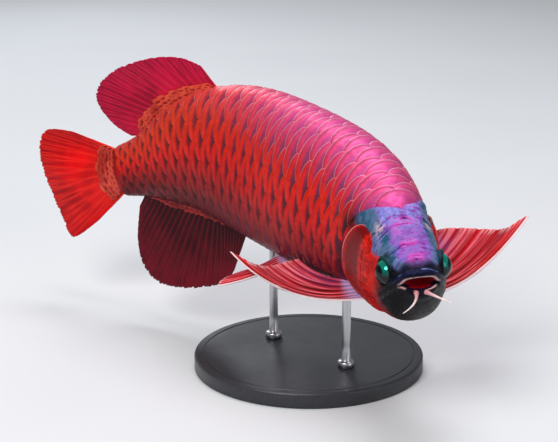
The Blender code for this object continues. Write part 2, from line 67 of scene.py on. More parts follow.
def smoothCurve(knots, at):
    x = np.array(list(knots.keys()), float)
    y = np.array(list(knots.values()), float)
    at = np.clip(at, x[0], x[-1])
    slope = np.gradient(y, x)
    k = np.clip(np.searchsorted(x, at) - 1, 0, len(x) - 2)
    h = x[k + 1] - x[k]
    u = (at - x[k]) / h
    start = (1 + 2 * u) * (1 - u) ** 2 * y[k] + u * (1 - u) ** 2 * h * slope[k]
    return start + u * u * (3 - 2 * u) * y[k + 1] + u * u * (u - 1) * h * slope[k + 1]


# the bent centreline, with the directions ahead, left and up at each station
def bendLine():
    at = np.linspace(-0.06, 1.30, 273)
    heading = np.radians(smoothCurve(body["heading"], at))
    pitch = np.radians(smoothCurve(body["pitch"], at))
    roll = np.radians(smoothCurve(body["roll"], at))[:, None]
    ahead = np.stack([np.cos(pitch) * np.cos(heading), np.cos(pitch) * np.sin(heading), np.sin(pitch)], -1)
    level = np.stack([-np.sin(heading), np.cos(heading), 0 * heading], -1)
    upright = np.cross(ahead, level)
    left = np.cos(roll) * level + np.sin(roll) * upright
    up = np.cos(roll) * upright - np.sin(roll) * level
    centre = np.zeros((len(at), 3))
    centre[1:] = np.cumsum(-(ahead[1:] + ahead[:-1]) / 2 * np.diff(at)[:, None], 0) * fishLength
    middle = [np.interp(0.5, at, centre[:, k]) for k in range(3)]
    balance = [np.interp(body["balanceStation"], at, centre[:, k]) for k in range(3)]
    centre -= np.array([balance[0], balance[1], middle[2] - body["centreHeight"]])
    return at, centre, ahead, left, up


bendAt, bendCentre, bendAhead, bendLeft, bendUp = bendLine()


def along(rows, t):
    return np.stack([np.interp(t, bendAt, rows[:, k]) for k in range(3)], -1)


def frameAt(t):
    return [Vector(along(rows, np.array([t]))[0]) for rows in (bendCentre, bendAhead, bendLeft, bendUp)]


def bodyPoints(t, side, height):
    t, side, height = np.broadcast_arrays(*(np.asarray(part, float) for part in (t, side, height)))
    across = along(bendLeft, t) * (side[..., None] * fishLength)
    return along(bendCentre, t) + across + along(bendUp, t) * (height[..., None] * fishLength)


def bodyPoint(t, side, height):
    return Vector(bodyPoints(np.array([t]), side, height)[0])


# the way back, from points in the scene to station, side and height
def bodyPlaces(points):
    t = np.full(len(points), 0.4)
    for _ in range(40):
        off = points - along(bendCentre, t)
        t = np.clip(t - (off * along(bendAhead, t)).sum(-1) / fishLength * 0.6, -0.055, 1.28)
    off = (points - along(bendCentre, t)) / fishLength
    return t, (off * along(bendLeft, t)).sum(-1), (off * along(bendUp, t)).sum(-1)


def backAndBelly(t):
    return smoothCurve(body["back"], t), smoothCurve(body["belly"], t)


# how far a section is drawn in towards the tip of the snout
def closingAt(t):
    front = np.clip((body["snoutStart"] - t) / (body["snoutStart"] + body["snoutReach"]), 0, 1)
    return np.sqrt(np.maximum(0.0004, 1 - front ** 2))


def girth(t, angle):
    top, low = backAndBelly(t)
    width = smoothCurve(body["halfWidth"], t)
    closing = closingAt(t)
    power = 2 / body["sectionPower"]
    c = np.cos(angle)
    s = np.sin(angle)
    side = width * closing * np.sign(c) * np.abs(c) ** power
    return side, (top + low) / 2 + (top - low) / 2 * closing * np.sign(s) * np.abs(s) ** power


def unit(rows):
    return rows / np.maximum(np.linalg.norm(rows, axis=-1, keepdims=True), 1e-12)


# points on the skin, raised along its own normal
def skinPoints(t, angle, lift=0.0, step=0.002, turn=0.03):
    t, angle = np.broadcast_arrays(np.asarray(t, float), np.asarray(angle, float))
    here = bodyPoints(t, *girth(t, angle))
    onward = bodyPoints(t + step, *girth(t + step, angle)) - bodyPoints(t - step, *girth(t - step, angle))
    around = bodyPoints(t, *girth(t, angle + turn)) - bodyPoints(t, *girth(t, angle - turn))
    normal = unit(np.cross(onward, around))
    normal *= np.sign((normal * (here - along(bendCentre, t))).sum(-1, keepdims=True))
    return here + normal * np.asarray(lift)[..., None]


def skinPoint(t, angle, lift=0.0):
    return Vector(skinPoints(np.array([t]), np.array([angle]), np.array([lift]))[0])


def softStep(low, high, x):
    u = np.clip((x - low) / (high - low), 0, 1)
    return u * u * (3 - 2 * u)


def softFall(low, high, x):
    return 1 - softStep(low, high, x)


def hump(x, centre, width):
    return np.exp(-((x - centre) / width) ** 2)


# smooth seeded noise from 0 to 1, for wrinkles and ripples in the meshes themselves
def softNoise(points, seed, cellsAcross=32):
    lattice = np.random.default_rng(seed).random((cellsAcross,) * 3)
    base = np.floor(points).astype(int)
    share = points - base
    share = share * share * (3 - 2 * share)
    total = np.zeros(len(points))
    for corner in range(8):
        step = np.array([corner & 1, corner >> 1 & 1, corner >> 2 & 1])
        weight = np.where(step, share, 1 - share).prod(1)
        spot = (base + step) % cellsAcross
        total += weight * lattice[spot[:, 0], spot[:, 1], spot[:, 2]]
    return total


def ridgedNoise(points, seed):
    return 1 - np.abs(2 * softNoise(points, seed) - 1)


def shade(red, green, blue):
    tone = np.array([red, green, blue]) / 255
    return tuple(float(v) for v in np.where(tone < 0.04045, tone / 12.92, ((tone + 0.055) / 1.055) ** 2.4))


# mesh helpers: a finished piece has its place in its mesh and its object at the origin
def looseObject(name, data):
    piece = bpy.data.objects.new(name, data)
    bpy.context.scene.collection.objects.link(piece)
    return piece


def finishPiece(name, mesh, finish, slotName, *nodes):
    piece = looseObject(name, mesh)
    mesh.shade_smooth()
    mesh.materials.clear()
    mesh.materials.append(finish)
    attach(piece, "root")
    if nodes:
        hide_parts(*nodes)
    return piece


def readFlat(items, key, width=1, kind=np.float32):
    flat = np.empty(len(items) * width, kind)
    items.foreach_get(key, flat)
    return flat


def meshPoints(mesh):
    return readFlat(mesh.vertices, "co", 3).reshape(-1, 3).astype(float)


def setPoints(mesh, points):
    mesh.vertices.foreach_set("co", np.asarray(points, np.float32).ravel())
    mesh.update()


def setNumbers(mesh, name, values):
    layer = mesh.attributes.new(name, "FLOAT", "POINT")
    layer.data.foreach_set("value", np.asarray(values, np.float32).ravel())


def setPlaces(mesh, name, values):
    layer = mesh.attributes.new(name, "FLOAT_VECTOR", "POINT")
    layer.data.foreach_set("vector", np.asarray(values, np.float32).ravel())


def setTints(mesh, name, values):
    rgba = np.ones((len(values), 4), np.float32)
    rgba[:, :3] = values
    layer = mesh.color_attributes.new(name, "FLOAT_COLOR", "POINT")
    layer.data.foreach_set("color", rgba.ravel())


def toMesh(shape, name, recalculate=True):
    if recalculate:
        shape.normal_update()
        bmesh.ops.recalc_face_normals(shape, faces=shape.faces)
    mesh = bpy.data.meshes.new(name)
    shape.to_mesh(mesh)
    shape.free()
    return mesh


def appliedMesh(piece):
    bpy.context.view_layer.update()
    view = piece.evaluated_get(bpy.context.evaluated_depsgraph_get())
    mesh = bpy.data.meshes.new_from_object(view)
    piece.modifiers.clear()
    return mesh


# a closed tube of rings along the body, its two ends filled
def tubeShape(rings, steps, pointsAt):
    shape = bmesh.new()
    bmesh.ops.create_grid(shape, x_segments=rings - 1, y_segments=steps, size=1)
    flat = np.array([vert.co for vert in shape.verts])
    ring = np.rint((flat[:, 0] + 1) / 2 * (rings - 1)).astype(int)
    step = np.rint((flat[:, 1] + 1) / 2 * steps).astype(int) % steps
    for vert, spot in zip(shape.verts, pointsAt(ring, step)):
        vert.co = spot
    bmesh.ops.remove_doubles(shape, verts=shape.verts, dist=1e-7)
    bmesh.ops.holes_fill(shape, edges=[edge for edge in shape.edges if edge.is_boundary], sides=0)
    return shape


# a flat closed slab, to be bent into a plate or fin: u and v run 0 to 1, w is 1 above and -1 below
def slabMesh(name, across, onward):
    shape = bmesh.new()
    bmesh.ops.create_grid(shape, x_segments=across, y_segments=onward, size=1)
    bmesh.ops.solidify(shape, geom=shape.faces[:], thickness=1.0)
    mesh = toMesh(shape, name)
    flat = meshPoints(mesh)
    top = flat[:, 2] > flat[:, 2].mean()
    return mesh, (flat[:, 0] + 1) / 2, (flat[:, 1] + 1) / 2, np.where(top, 1.0, -1.0)


# turns every closed island of a mesh outward, by the sign of its own volume
def faceOutward(mesh, copies=1):
    mesh.calc_loop_triangles()
    corners = readFlat(mesh.loop_triangles, "vertices", 3, np.int32).reshape(-1, 3)
    a, b, c = (meshPoints(mesh)[corners[:, k]] for k in range(3))
    middle = a.mean(0)
    share = ((a - middle) * np.cross(b - middle, c - middle)).sum(1)
    size = len(mesh.vertices) // copies
    inward = np.bincount(corners[:, 0] // size, weights=share, minlength=copies) < 0
    shape = bmesh.new()
    shape.from_mesh(mesh)
    turned = [face for face in shape.faces if inward[face.verts[0].index // size]]
    bmesh.ops.reverse_faces(shape, faces=turned)
    shape.to_mesh(mesh)
    shape.free()


# bends a slab onto a surface given over u and v, and gives back the surface's normals
def bendSlab(mesh, u, v, w, surfaceAt, halfThickness, ahead=0.004):
    low, high = np.clip(u - ahead, 0, 1), np.clip(u + ahead, 0, 1)
    overU = surfaceAt(high, v) - surfaceAt(low, v)
    low, high = np.clip(v - ahead, 0, 1), np.clip(v + ahead, 0, 1)
    overV = surfaceAt(u, high) - surfaceAt(u, low)
    normal = unit(np.cross(overU, overV))
    setPoints(mesh, surfaceAt(u, v) + normal * (w * halfThickness)[:, None])
    faceOutward(mesh)
    return normal


# one mesh of many copies of a small slab: x runs -1 to 1 across a copy, p 0 to 1 onward
def platesMesh(name, across, onward, count):
    template, u, p, w = slabMesh(name + "Template", across, onward)
    template.uv_layers.new(name="OFBake")
    shape = bmesh.new()
    for _ in range(count):
        shape.from_mesh(template)
    return toMesh(shape, name, False), u[None, :] * 2 - 1, p[None, :], w[None, :]


# each copy has its own patch of the map
def layUv(mesh, u, v):
    spots = np.stack([u, v], -1).reshape(-1, 2)
    corner = readFlat(mesh.loops, "vertex_index", 1, np.int32)
    mesh.uv_layers["OFBake"].data.foreach_set("uv", spots[corner].astype(np.float32).ravel())


def spread(values, size):
    return np.broadcast_to(values, size).ravel()


# material helpers: each takes the node tree and gives back a socket
def newFinish(name):
    material = bpy.data.materials.new(name)
    material.use_nodes = True
    return material, material.node_tree


def plug(tree, source, target):
    if isinstance(source, tuple):
        target.default_value = (*source, 1) if target.type == "RGBA" else source
    elif isinstance(source, (int, float)):
        target.default_value = source
    else:
        tree.links.new(source, target)


def attribute(tree, name, output="Fac"):
    node = tree.nodes.new("ShaderNodeAttribute")
    node.attribute_name = name
    return node.outputs[output]


def objectPlace(tree):
    return tree.nodes.new("ShaderNodeTexCoord").outputs["Object"]


def stretched(tree, source, scale):
    node = tree.nodes.new("ShaderNodeMapping")
    node.inputs["Scale"].default_value = scale
    plug(tree, source, node.inputs["Vector"])
    return node.outputs["Vector"]


def grain(tree, source, scale, detail=3.0, rough=0.55, warp=0.0):
    node = tree.nodes.new("ShaderNodeTexNoise")
    node.inputs["Scale"].default_value = scale
    node.inputs["Detail"].default_value = detail
    node.inputs["Roughness"].default_value = rough
    node.inputs["Distortion"].default_value = warp
    plug(tree, source, node.inputs["Vector"])
    return node.outputs["Fac"]


def cells(tree, source, scale):
    node = tree.nodes.new("ShaderNodeTexVoronoi")
    node.inputs["Scale"].default_value = scale
    plug(tree, source, node.inputs["Vector"])
    return node.outputs["Distance"]


def sums(tree, kind, first, second):
    node = tree.nodes.new("ShaderNodeMath")
    node.operation = kind
    plug(tree, first, node.inputs[0])
    plug(tree, second, node.inputs[1])
    return node.outputs["Value"]


def times(tree, first, second):
    return sums(tree, "MULTIPLY", first, second)


# a place made of numbers that follow the surface
def strandPlace(tree, first, second, third=0.0):
    strand = tree.nodes.new("ShaderNodeCombineXYZ")
    for axis, source in zip("XYZ", (first, second, third)):
        plug(tree, source, strand.inputs[axis])
    return strand.outputs["Vector"]


def remap(tree, source, low, high, start=0.0, end=1.0):
    node = tree.nodes.new("ShaderNodeMapRange")
    node.interpolation_type = "SMOOTHSTEP"
    node.inputs["From Min"].default_value = low
    node.inputs["From Max"].default_value = high
    node.inputs["To Min"].default_value = start
    node.inputs["To Max"].default_value = end
    plug(tree, source, node.inputs["Value"])
    return node.outputs["Result"]


def blendTints(tree, share, first, second, kind="MIX"):
    node = tree.nodes.new("ShaderNodeMix")
    node.data_type = "RGBA"
    node.blend_type = kind
    plug(tree, share, node.inputs[0])
    plug(tree, first, node.inputs[6])
    plug(tree, second, node.inputs[7])
    return node.outputs[2]


# lays tints over a colour one after the other, each with its share
def layTints(tree, colour, *layers):
    for share, tint, *kind in layers:
        colour = blendTints(tree, share, colour, tint, *kind)
    return colour


def relief(tree, height, strength, distance, under=None):
    node = tree.nodes.new("ShaderNodeBump")
    node.inputs["Strength"].default_value = strength
    node.inputs["Distance"].default_value = distance
    plug(tree, height, node.inputs["Height"])
    if under is not None:
        plug(tree, under, node.inputs["Normal"])
    return node.outputs["Normal"]


def dress(tree, sockets):
    shader = tree.nodes["Principled BSDF"]
    for name, source in sockets.items():
        plug(tree, source, shader.inputs[name])


print("frame loaded and body line ready")

# camera, floor and lights
view = {
    "elevation": 15.1,
    "lens": 114.0,
    "distance": 1.591,
    "aimLeft": 0.687,      # degrees that the camera turns away from the middle of the body
    "aimDown": 1.391,
    "sensor": 36,
    "lightsAim": (0, 0, 0.16),
    "lights": {            # place, size, power and tone
        "key": ((-0.9, -1.5, 1.7), 1.1, 34, (1.0, 0.98, 0.96)),
        "fill": ((1.7, -1.2, 0.8), 1.3, 7, (0.93, 0.96, 1.0)),
        "top": ((0.1, 0.3, 2.2), 1.6, 34, (0.98, 0.98, 1.0)),
        "rim": ((-0.6, 1.9, 1.0), 1.0, 8, (0.9, 0.95, 1.0)),
    },
    "roomTone": (0.80, 0.84, 0.90, 1),
    "roomStrength": 0.30,
    "floorSize": 6,
}


def placeCamera():
    middle = bodyPoint(0.5, 0, 0)
    tilt = math.radians(view["elevation"])
    ahead = Vector((0, math.cos(tilt), -math.sin(tilt)))
    data = bpy.data.cameras.new("photoCamera")
    data.lens = view["lens"]
    data.sensor_width = view["sensor"]
    holder = looseObject("photoCamera", data)
    holder.location = middle - ahead * view["distance"]
    turn = math.radians(view["aimLeft"])
    holder.rotation_euler = (math.pi / 2 - tilt - math.radians(view["aimDown"]), 0, turn)
    bpy.context.scene.camera = holder


def softLight(name, spot, size, power, tone):
    data = bpy.data.lights.new(name, "AREA")
    data.shape = "DISK"
    data.size = size
    data.energy = power
    data.color = tone
    holder = looseObject(name, data)
    holder.location = spot
    aim = Vector(view["lightsAim"]) - Vector(spot)
    holder.rotation_euler = aim.to_track_quat("-Z", "Y").to_euler()


def makeStudio():
    shape = bmesh.new()
    bmesh.ops.create_grid(shape, x_segments=1, y_segments=1, size=view["floorSize"])
    finish, tree = newFinish("paleFloor")
    tone = grain(tree, objectPlace(tree), 3.0, 2.0)
    colour = blendTints(tree, tone, (0.62, 0.63, 0.65), (0.68, 0.69, 0.70))
    dress(tree, {"Base Color": colour, "Roughness": 0.85})
    floor = looseObject("floor", toMesh(shape, "floor", False))
    floor.data.materials.append(finish)
    for name, light in view["lights"].items():
        softLight(name, *light)
    world = bpy.data.worlds.new("paleRoom")
    world.use_nodes = True
    background = world.node_tree.nodes["Background"]
    background.inputs["Color"].default_value = view["roomTone"]
    background.inputs["Strength"].default_value = view["roomStrength"]
    bpy.context.scene.world = world
    bpy.context.scene.view_settings.view_transform = "Standard"


placeCamera()
makeStudio()
print("camera, floor and lights placed")

# head: built whole, the mouth and eye sockets cut out, then drawn together into one skin
head = {
    "rear": 0.262,
    "rings": 140,
    "steps": 128,
    "voxel": 0.0009,
    "upperLip": ((-0.05, 0.046), (-0.02, 0.044), (-0.008, 0.038), (0.002, 0.029), (0.014, 0.0215),
                 (0.03, 0.0115), (0.065, -0.0125), (0.100, -0.038)),
    "lowerLip": ((-0.05, 0.020), (-0.02, 0.022), (-0.008, 0.0235), (0.002, 0.0232), (0.014, 0.0195),
                 (0.03, 0.0098), (0.065, -0.0142), (0.0985, -0.0397)),
    "mouthCentre": (0.000, 0.0, 0.031),
    "mouthSize": (0.019, 0.024, 0.010),
    "nostrils": ((0.012, 0.019, 0.0012), (0.030, 0.027, 0.0010)),
    "wrinkle": 0.00095,      # height of the folds on the crown
    "crease": 0.00065,       # height of the closer creases between them
    "pebble": 0.00075,       # height of the fine relief on the temples
    "foldSize": (0.0042, 0.015, 0.018),
    "creaseSize": (0.0022, 0.009, 0.011),
    "pebbleSize": 0.0024,
    "nape": {0: 0.174, 20: 0.187, 40: 0.211, 60: 0.232, 80: 0.246, 180: 0.250},
}
eye = {
    "place": (0.064, 0.0415, 0.030),
    "radius": 0.0118,
    "turn": (0.25, 0.12),    # how far the eye looks ahead and up
    "bulge": 0.05,
    "lid": 0.0019,
    "lidOut": 0.40,          # how far out the lid lies, and how wide it is, in radii of the eye
    "lidWide": 0.95,
}


def lipHeight(line, t):
    return smoothCurve(dict(line), np.clip(t, line[0][0], line[-1][0]))


def mouthOutline():
    stations = np.linspace(-0.05, 0.0985, 60)
    upper = lipHeight(head["upperLip"], stations)
    lower = np.minimum(lipHeight(head["lowerLip"], stations), upper - 0.0004)
    return list(zip(stations, upper)) + list(zip(stations, lower))[::-1]


# where the head's skin ends over the first scales, by degrees from the middle of the back
def napeEdge(angle):
    away = np.abs((np.degrees(angle) - 90 + 180) % 360 - 180)
    return smoothCurve(head["nape"], away)


def headLift(t, angle):
    side, height = girth(t, angle)
    upper = lipHeight(head["upperLip"], t)
    lower = lipHeight(head["lowerLip"], t)
    front = softStep(-0.0195, -0.012, t)
    inMouth = softFall(0.085, 0.112, t) * (0.35 + 0.65 * front)
    lift = 0.0016 * hump(height, upper + 0.009, 0.0075) * inMouth
    lift += 0.0012 * hump(height, lower - 0.006, 0.0055) * inMouth
    groove = upper + 0.021 + 0.06 * np.clip(t, 0, 0.1)
    lift -= 0.0009 * hump(height, groove, 0.0032) * softFall(0.07, 0.10, t)
    lift += 0.0020 * hump(t, 0.058, 0.032) * hump(height, 0.061, 0.012) * softStep(0.018, 0.034, np.abs(side))
    lift -= 0.0006 * hump(side, 0, 0.008) * softStep(0.01, 0.05, t) * (height > 0.03)
    lift += 0.0012 * hump(t, 0.125, 0.035) * hump(height, -0.015, 0.035)
    edge = napeEdge(angle)
    rim = softStep(edge - 0.030, edge - 0.006, t) * softFall(edge - 0.002, edge + 0.005, t)
    return lift + 0.0013 * rim * (height > 0) - 0.0016 * softStep(edge, edge + 0.006, t)


def headForm():
    nose = [-0.02098, -0.0208, -0.0203, -0.0195, -0.018, -0.016, -0.0135, -0.0105, -0.007, -0.003]
    stations = np.concatenate([nose, np.linspace(0.001, head["rear"], head["rings"] - len(nose))])

    def pointsAt(ring, step):
        t = stations[ring]
        angle = 2 * math.pi * step / head["steps"]
        return skinPoints(t, angle, headLift(t, angle))

    return looseObject("headForm", toMesh(tubeShape(len(stations), head["steps"], pointsAt), "headForm"))


def slabAlong(name, outline, halfWidth):
    shape = bmesh.new()
    face = shape.faces.new([shape.verts.new((t, -halfWidth, z)) for t, z in outline])
    pushed = bmesh.ops.extrude_face_region(shape, geom=[face])
    for item in pushed["geom"]:
        if isinstance(item, bmesh.types.BMVert):
            item.co.y = halfWidth
    for vert in shape.verts:
        vert.co = bodyPoint(*vert.co)
    return looseObject(name, toMesh(shape, name))


def ballObject(name, centre, radii, axes, segments=32, rings=20):
    shape = bmesh.new()
    bmesh.ops.create_uvsphere(shape, u_segments=segments, v_segments=rings, radius=1)
    for vert in shape.verts:
        x, y, z = vert.co
        vert.co = centre + axes[0] * (x * radii[0]) + axes[1] * (y * radii[1]) + axes[2] * (z * radii[2])
    return looseObject(name, toMesh(shape, name))


def cutWith(piece, tool, kind="DIFFERENCE"):
    cut = piece.modifiers.new("cut", "BOOLEAN")
    cut.operation = kind
    cut.solver = "EXACT"
    cut.object = tool
    piece.data = appliedMesh(piece)
    bpy.data.objects.remove(tool, do_unlink=True)


def eyeAxes(sign):
    t, side, height = eye["place"]
    _, ahead, left, up = frameAt(t)
    toFront, toTop = eye["turn"]
    outward = (left * sign + ahead * toFront + up * toTop).normalized()
    across = up.cross(outward).normalized()
    return bodyPoint(t, side * sign, height), across, outward.cross(across).normalized(), outward


def lidRing(sign):
    centre, across, _, outward = eyeAxes(sign)
    middle = centre + outward * (eye["radius"] * eye["lidOut"])
    shape = bmesh.new()
    made = bmesh.ops.create_circle(shape, segments=10, radius=eye["lid"])
    for vert in made["verts"]:
        x, y, _ = vert.co
        vert.co = middle + across * (eye["radius"] * eye["lidWide"] + x) + outward * y
    bmesh.ops.spin(shape, geom=shape.verts[:] + shape.edges[:], cent=middle, axis=outward, dvec=(0, 0, 0),
                   angle=2 * math.pi, steps=44, use_merge=True, use_normal_flip=False, use_duplicate=False)
    bmesh.ops.remove_doubles(shape, verts=shape.verts, dist=1e-6)
    return looseObject("lid", toMesh(shape, "lid"))


def headMesh():
    form = headForm()
    cutWith(form, slabAlong("mouthSlot", mouthOutline(), 0.12))
    _, ahead, left, up = frameAt(0.05)
    sizes = [fishLength * size for size in head["mouthSize"]]
    cutWith(form, ballObject("mouthHollow", bodyPoint(*head["mouthCentre"]), sizes, (ahead, left, up)))
    for sign in (1, -1):
        cutWith(form, lidRing(sign), "UNION")
        centre, across, upward, outward = eyeAxes(sign)
        cutWith(form, ballObject("socket", centre, [eye["radius"] + 0.0002] * 3, (across, upward, outward)))
        for at, off, size in head["nostrils"]:
            angle = math.acos(off / float(smoothCurve(body["halfWidth"], at)))
            spot = skinPoint(at, angle if sign > 0 else math.pi - angle)
            cutWith(form, ballObject("nostril", spot, [size] * 3, (ahead, left, up), 16, 10))
    remesh = form.modifiers.new("skin", "REMESH")
    remesh.mode = "VOXEL"
    remesh.voxel_size = head["voxel"]
    soften = form.modifiers.new("soften", "SMOOTH")
    soften.factor = 0.5
    soften.iterations = 4
    mesh = appliedMesh(form)
    bpy.data.objects.remove(form, do_unlink=True)
    return mesh


# the body under the scales
trunk = {
    "front": 0.196,
    "rear": 1.0,
    "rings": 96,
    "steps": 60,
    "depth": -0.0004,
    "frontSunk": 0.004,      # how far its ends are drawn in
    "rearSunk": 0.0012,
}


def trunkShape():
    def pointsAt(ring, step):
        share = ring / (trunk["rings"] - 1)
        t = trunk["front"] + (trunk["rear"] - trunk["front"]) * share
        depth = trunk["depth"] - trunk["frontSunk"] * softFall(0, 0.02, share)
        depth = depth - trunk["rearSunk"] * softStep(0.992, 1, share)
        return skinPoints(t, 2 * math.pi * step / trunk["steps"], depth)

    return tubeShape(trunk["rings"], trunk["steps"], pointsAt)


# folds across the crown and fine pebbled relief on the temples, cut into the mesh itself
def wrinkleHead(mesh):
    t, side, height = bodyPlaces(meshPoints(mesh))
    top, low = backAndBelly(t)
    level = (height - low) / (top - low)
    grid = np.stack([t, side, height], -1) * fishLength
    warp = softNoise(grid / 0.009, 11) + 0.5 * softNoise(grid / 0.004, 12)

    def foldsOf(size, bend, seed):
        place = grid / size
        place[:, 0] += bend * warp
        return ridgedNoise(place, seed)

    crest = foldsOf(head["foldSize"], 1.6, 13)
    crease = foldsOf(head["creaseSize"], 2.0, 15)
    fine = ridgedNoise(grid / head["pebbleSize"], 14)
    crown = softStep(0.72, 0.86, level) * softStep(0.012, 0.040, t)
    temple = hump(level, 0.70, 0.11) * softStep(0.075, 0.10, t)
    amount = (head["wrinkle"] * (crest - 0.5) + head["crease"] * (crease - 0.5)) * crown
    amount = amount + head["pebble"] * (fine - 0.5) * (0.45 * crown + temple)
    amount = amount + 0.00012 * (fine - 0.5) * (1 - crown) * (1 - temple) * softStep(0.0, 0.05, t)
    normal = readFlat(mesh.vertices, "normal", 3).reshape(-1, 3)
    setPoints(mesh, meshPoints(mesh) + normal * amount[:, None])
    return crest * 0.45 + crease * 0.35 + fine * 0.20


# degrees from the middle of the back, and how near the outer skin a point lies
def aroundBody(t, side, height):
    top, low = backAndBelly(t)
    power = body["sectionPower"] / 2
    high = (height - (top + low) / 2) / ((top - low) / 2)
    c = np.abs(side / smoothCurve(body["halfWidth"], t)) ** power
    s = np.abs(high) ** power
    return np.degrees(np.arctan2(c, np.sign(high) * s)), np.sqrt(c * c + s * s) ** (1 / power) / closingAt(t)


# soft-edged zones of the skin's colour, each laid over the last; some are painted highlight and painted
# shade, noted where they are laid
def skinTints(t, side, height, crest):
    away, depth = aroundBody(t, side, height)
    grid = np.stack([t, side, height], -1) * fishLength
    patch = softNoise(grid / 0.011, 21)
    small = softNoise(grid / 0.004, 22)
    tint = np.tile(shade(186, 8, 12), (len(t), 1))

    def lay(tone, share):
        share = np.clip(share, 0, 1)[:, None]
        tint[:] = tint * (1 - share) + np.array(shade(*tone)) * share

    onHead = softFall(0.255, 0.262, t)
    temple = softFall(58, 65, away + 10 * (small - 0.5)) * onHead
    crown = softFall(24, 36, away + 16 * (patch - 0.5)) * onHead
    # crests of the folds: the paler, bluer tints laid on them below are painted highlight, on the temples and
    # the crown
    ridgeHighlight = softStep(0.54, 0.72, crest)
    valleyShade = softFall(0.30, 0.46, crest)
    lay((226, 30, 14), softStep(0.40, 0.65, patch) * 0.9)
    lay((210, 96, 110), hump(away, 63, 3.0) * softStep(0.10, 0.13, t) * onHead * 0.6)
    lay((66, 84, 140), temple)
    lay((132, 142, 188), ridgeHighlight * temple * (1 - crown) * 0.6)
    teal = np.maximum(softStep(0.47, 0.60, patch) * 0.8, hump(t, 0.185, 0.030) * hump(away, 48, 15) * 1.5)
    lay((10, 96, 112), np.minimum(teal, 0.9) * temple * (1 - crown) * (1 - 0.4 * ridgeHighlight))
    lay((150, 66, 168), crown)
    lay((206, 70, 180), crown * softFall(12, 26, away) * softStep(0.32, 0.58, patch))
    lay((104, 104, 196), crown * softStep(14, 28, away) * softStep(0.46, 0.62, small) * 0.7)
    lay((142, 152, 228), ridgeHighlight * crown * (0.30 + 0.50 * softStep(0.10, 0.17, t)))
    # painted shade in the hollows between the folds on the temples
    lay((40, 20, 96), valleyShade * temple * 0.8)
    # painted highlight: pale pink-white on the fold crests of one small patch of the temple
    lay((240, 200, 206), ridgeHighlight * hump(away, 38, 7) * hump(t, 0.148, 0.016) * 0.9)
    # painted shade: a dark diagonal crease line across the temple
    lay((8, 10, 34), hump(t - 0.0009 * (away - 46), 0.152, 0.0030) * hump(away, 49, 6))
    # painted shadow of the gill cover on the skin just behind it
    lay((6, 6, 14), hump(t, 0.236, 0.022) * hump(away, 64, 14))
    centre = eye["place"]
    fromEye = np.sqrt((t - centre[0]) ** 2 + (height - centre[2]) ** 2)
    around = softFall(0.028, 0.040, fromEye + 0.010 * (patch - 0.5)) * softStep(0.35, 0.6, away / 90)
    lay((6, 8, 12), around)
    lay((8, 70, 76), around * softStep(0.044, 0.056, height) * 0.8)
    lay((5, 5, 9), softFall(0.050, 0.066, t) * softStep(50, 60, away))
    lay((14, 14, 38), softFall(0.006, 0.030, t) * softFall(0.056, 0.072, height))
    # painted shade: the lower jaw and chin made near-black, as if shaded under the head
    lay((4, 4, 7), softFall(0.070, 0.118, t) * softFall(-0.002, 0.030, height))
    cheek = hump(t, 0.090, 0.020) * softFall(-0.03, 0.0, height)
    lay((104, 40, 44), cheek * softStep(0.4, 0.7, patch))
    lay((96, 14, 50), hump(t, 0.140, 0.024) * softFall(-0.06, -0.03, height) * 0.8)
    upper = lipHeight(head["upperLip"], t)
    lower = lipHeight(head["lowerLip"], t)
    lips = softFall(0.075, 0.100, t)
    frontal = softFall(0.002, 0.012, t)
    skinDeep = softStep(0.86, 0.95, depth)
    lay((16, 20, 60), hump(height, upper + 0.009, 0.006) * softFall(0.012, 0.040, t) * skinDeep)
    glint = hump(height, upper + 0.0162, 0.0011) * lips * frontal
    lay((120, 144, 204), glint * softStep(0.3, 0.5, small))
    lay((6, 5, 10), hump(height, upper + 0.005, 0.0025) * lips * 0.9)
    # painted shade: a near-black band under the lower lip, on the lower jaw
    lay((6, 5, 10), hump(height, lower - 0.004, 0.006) * lips * skinDeep * 0.9)
    lay((240, 196, 196), hump(height, upper + 0.0006, 0.0009) * frontal * skinDeep * 0.9)
    pale = hump(height, lower - 0.0006, 0.0010) * frontal * skinDeep
    lay((230, 176, 172), pale * softStep(0.42, 0.55, patch))
    centre = head["mouthCentre"]
    size = head["mouthSize"]
    inside = ((t - centre[0]) / size[0]) ** 2 + (side / size[1]) ** 2 + ((height - centre[2]) / size[2]) ** 2
    inside = softFall(1.10, 1.25, inside) * softFall(0.88, 0.95, depth)
    lay((170, 10, 24), inside)
    lay((96, 6, 16), inside * softStep(0.030, 0.038, height))
    return tint


def makeSkin():
    mesh = headMesh()
    setNumbers(mesh, "crest", wrinkleHead(mesh))
    rear = toMesh(trunkShape(), "trunk")
    setNumbers(rear, "crest", np.full(len(rear.vertices), 0.5))
    form = looseObject("fishSkin", mesh)
    cutWith(form, looseObject("trunk", rear), "UNION")
    whole = form.data
    bpy.data.objects.remove(form, do_unlink=True)
    t, side, height = bodyPlaces(meshPoints(whole))
    crests = readFlat(whole.attributes["crest"].data, "value")
    setTints(whole, "zone", skinTints(t, side, height, crests))
    setPlaces(whole, "bodyPlace", np.stack([t, side, height], -1))
    return whole


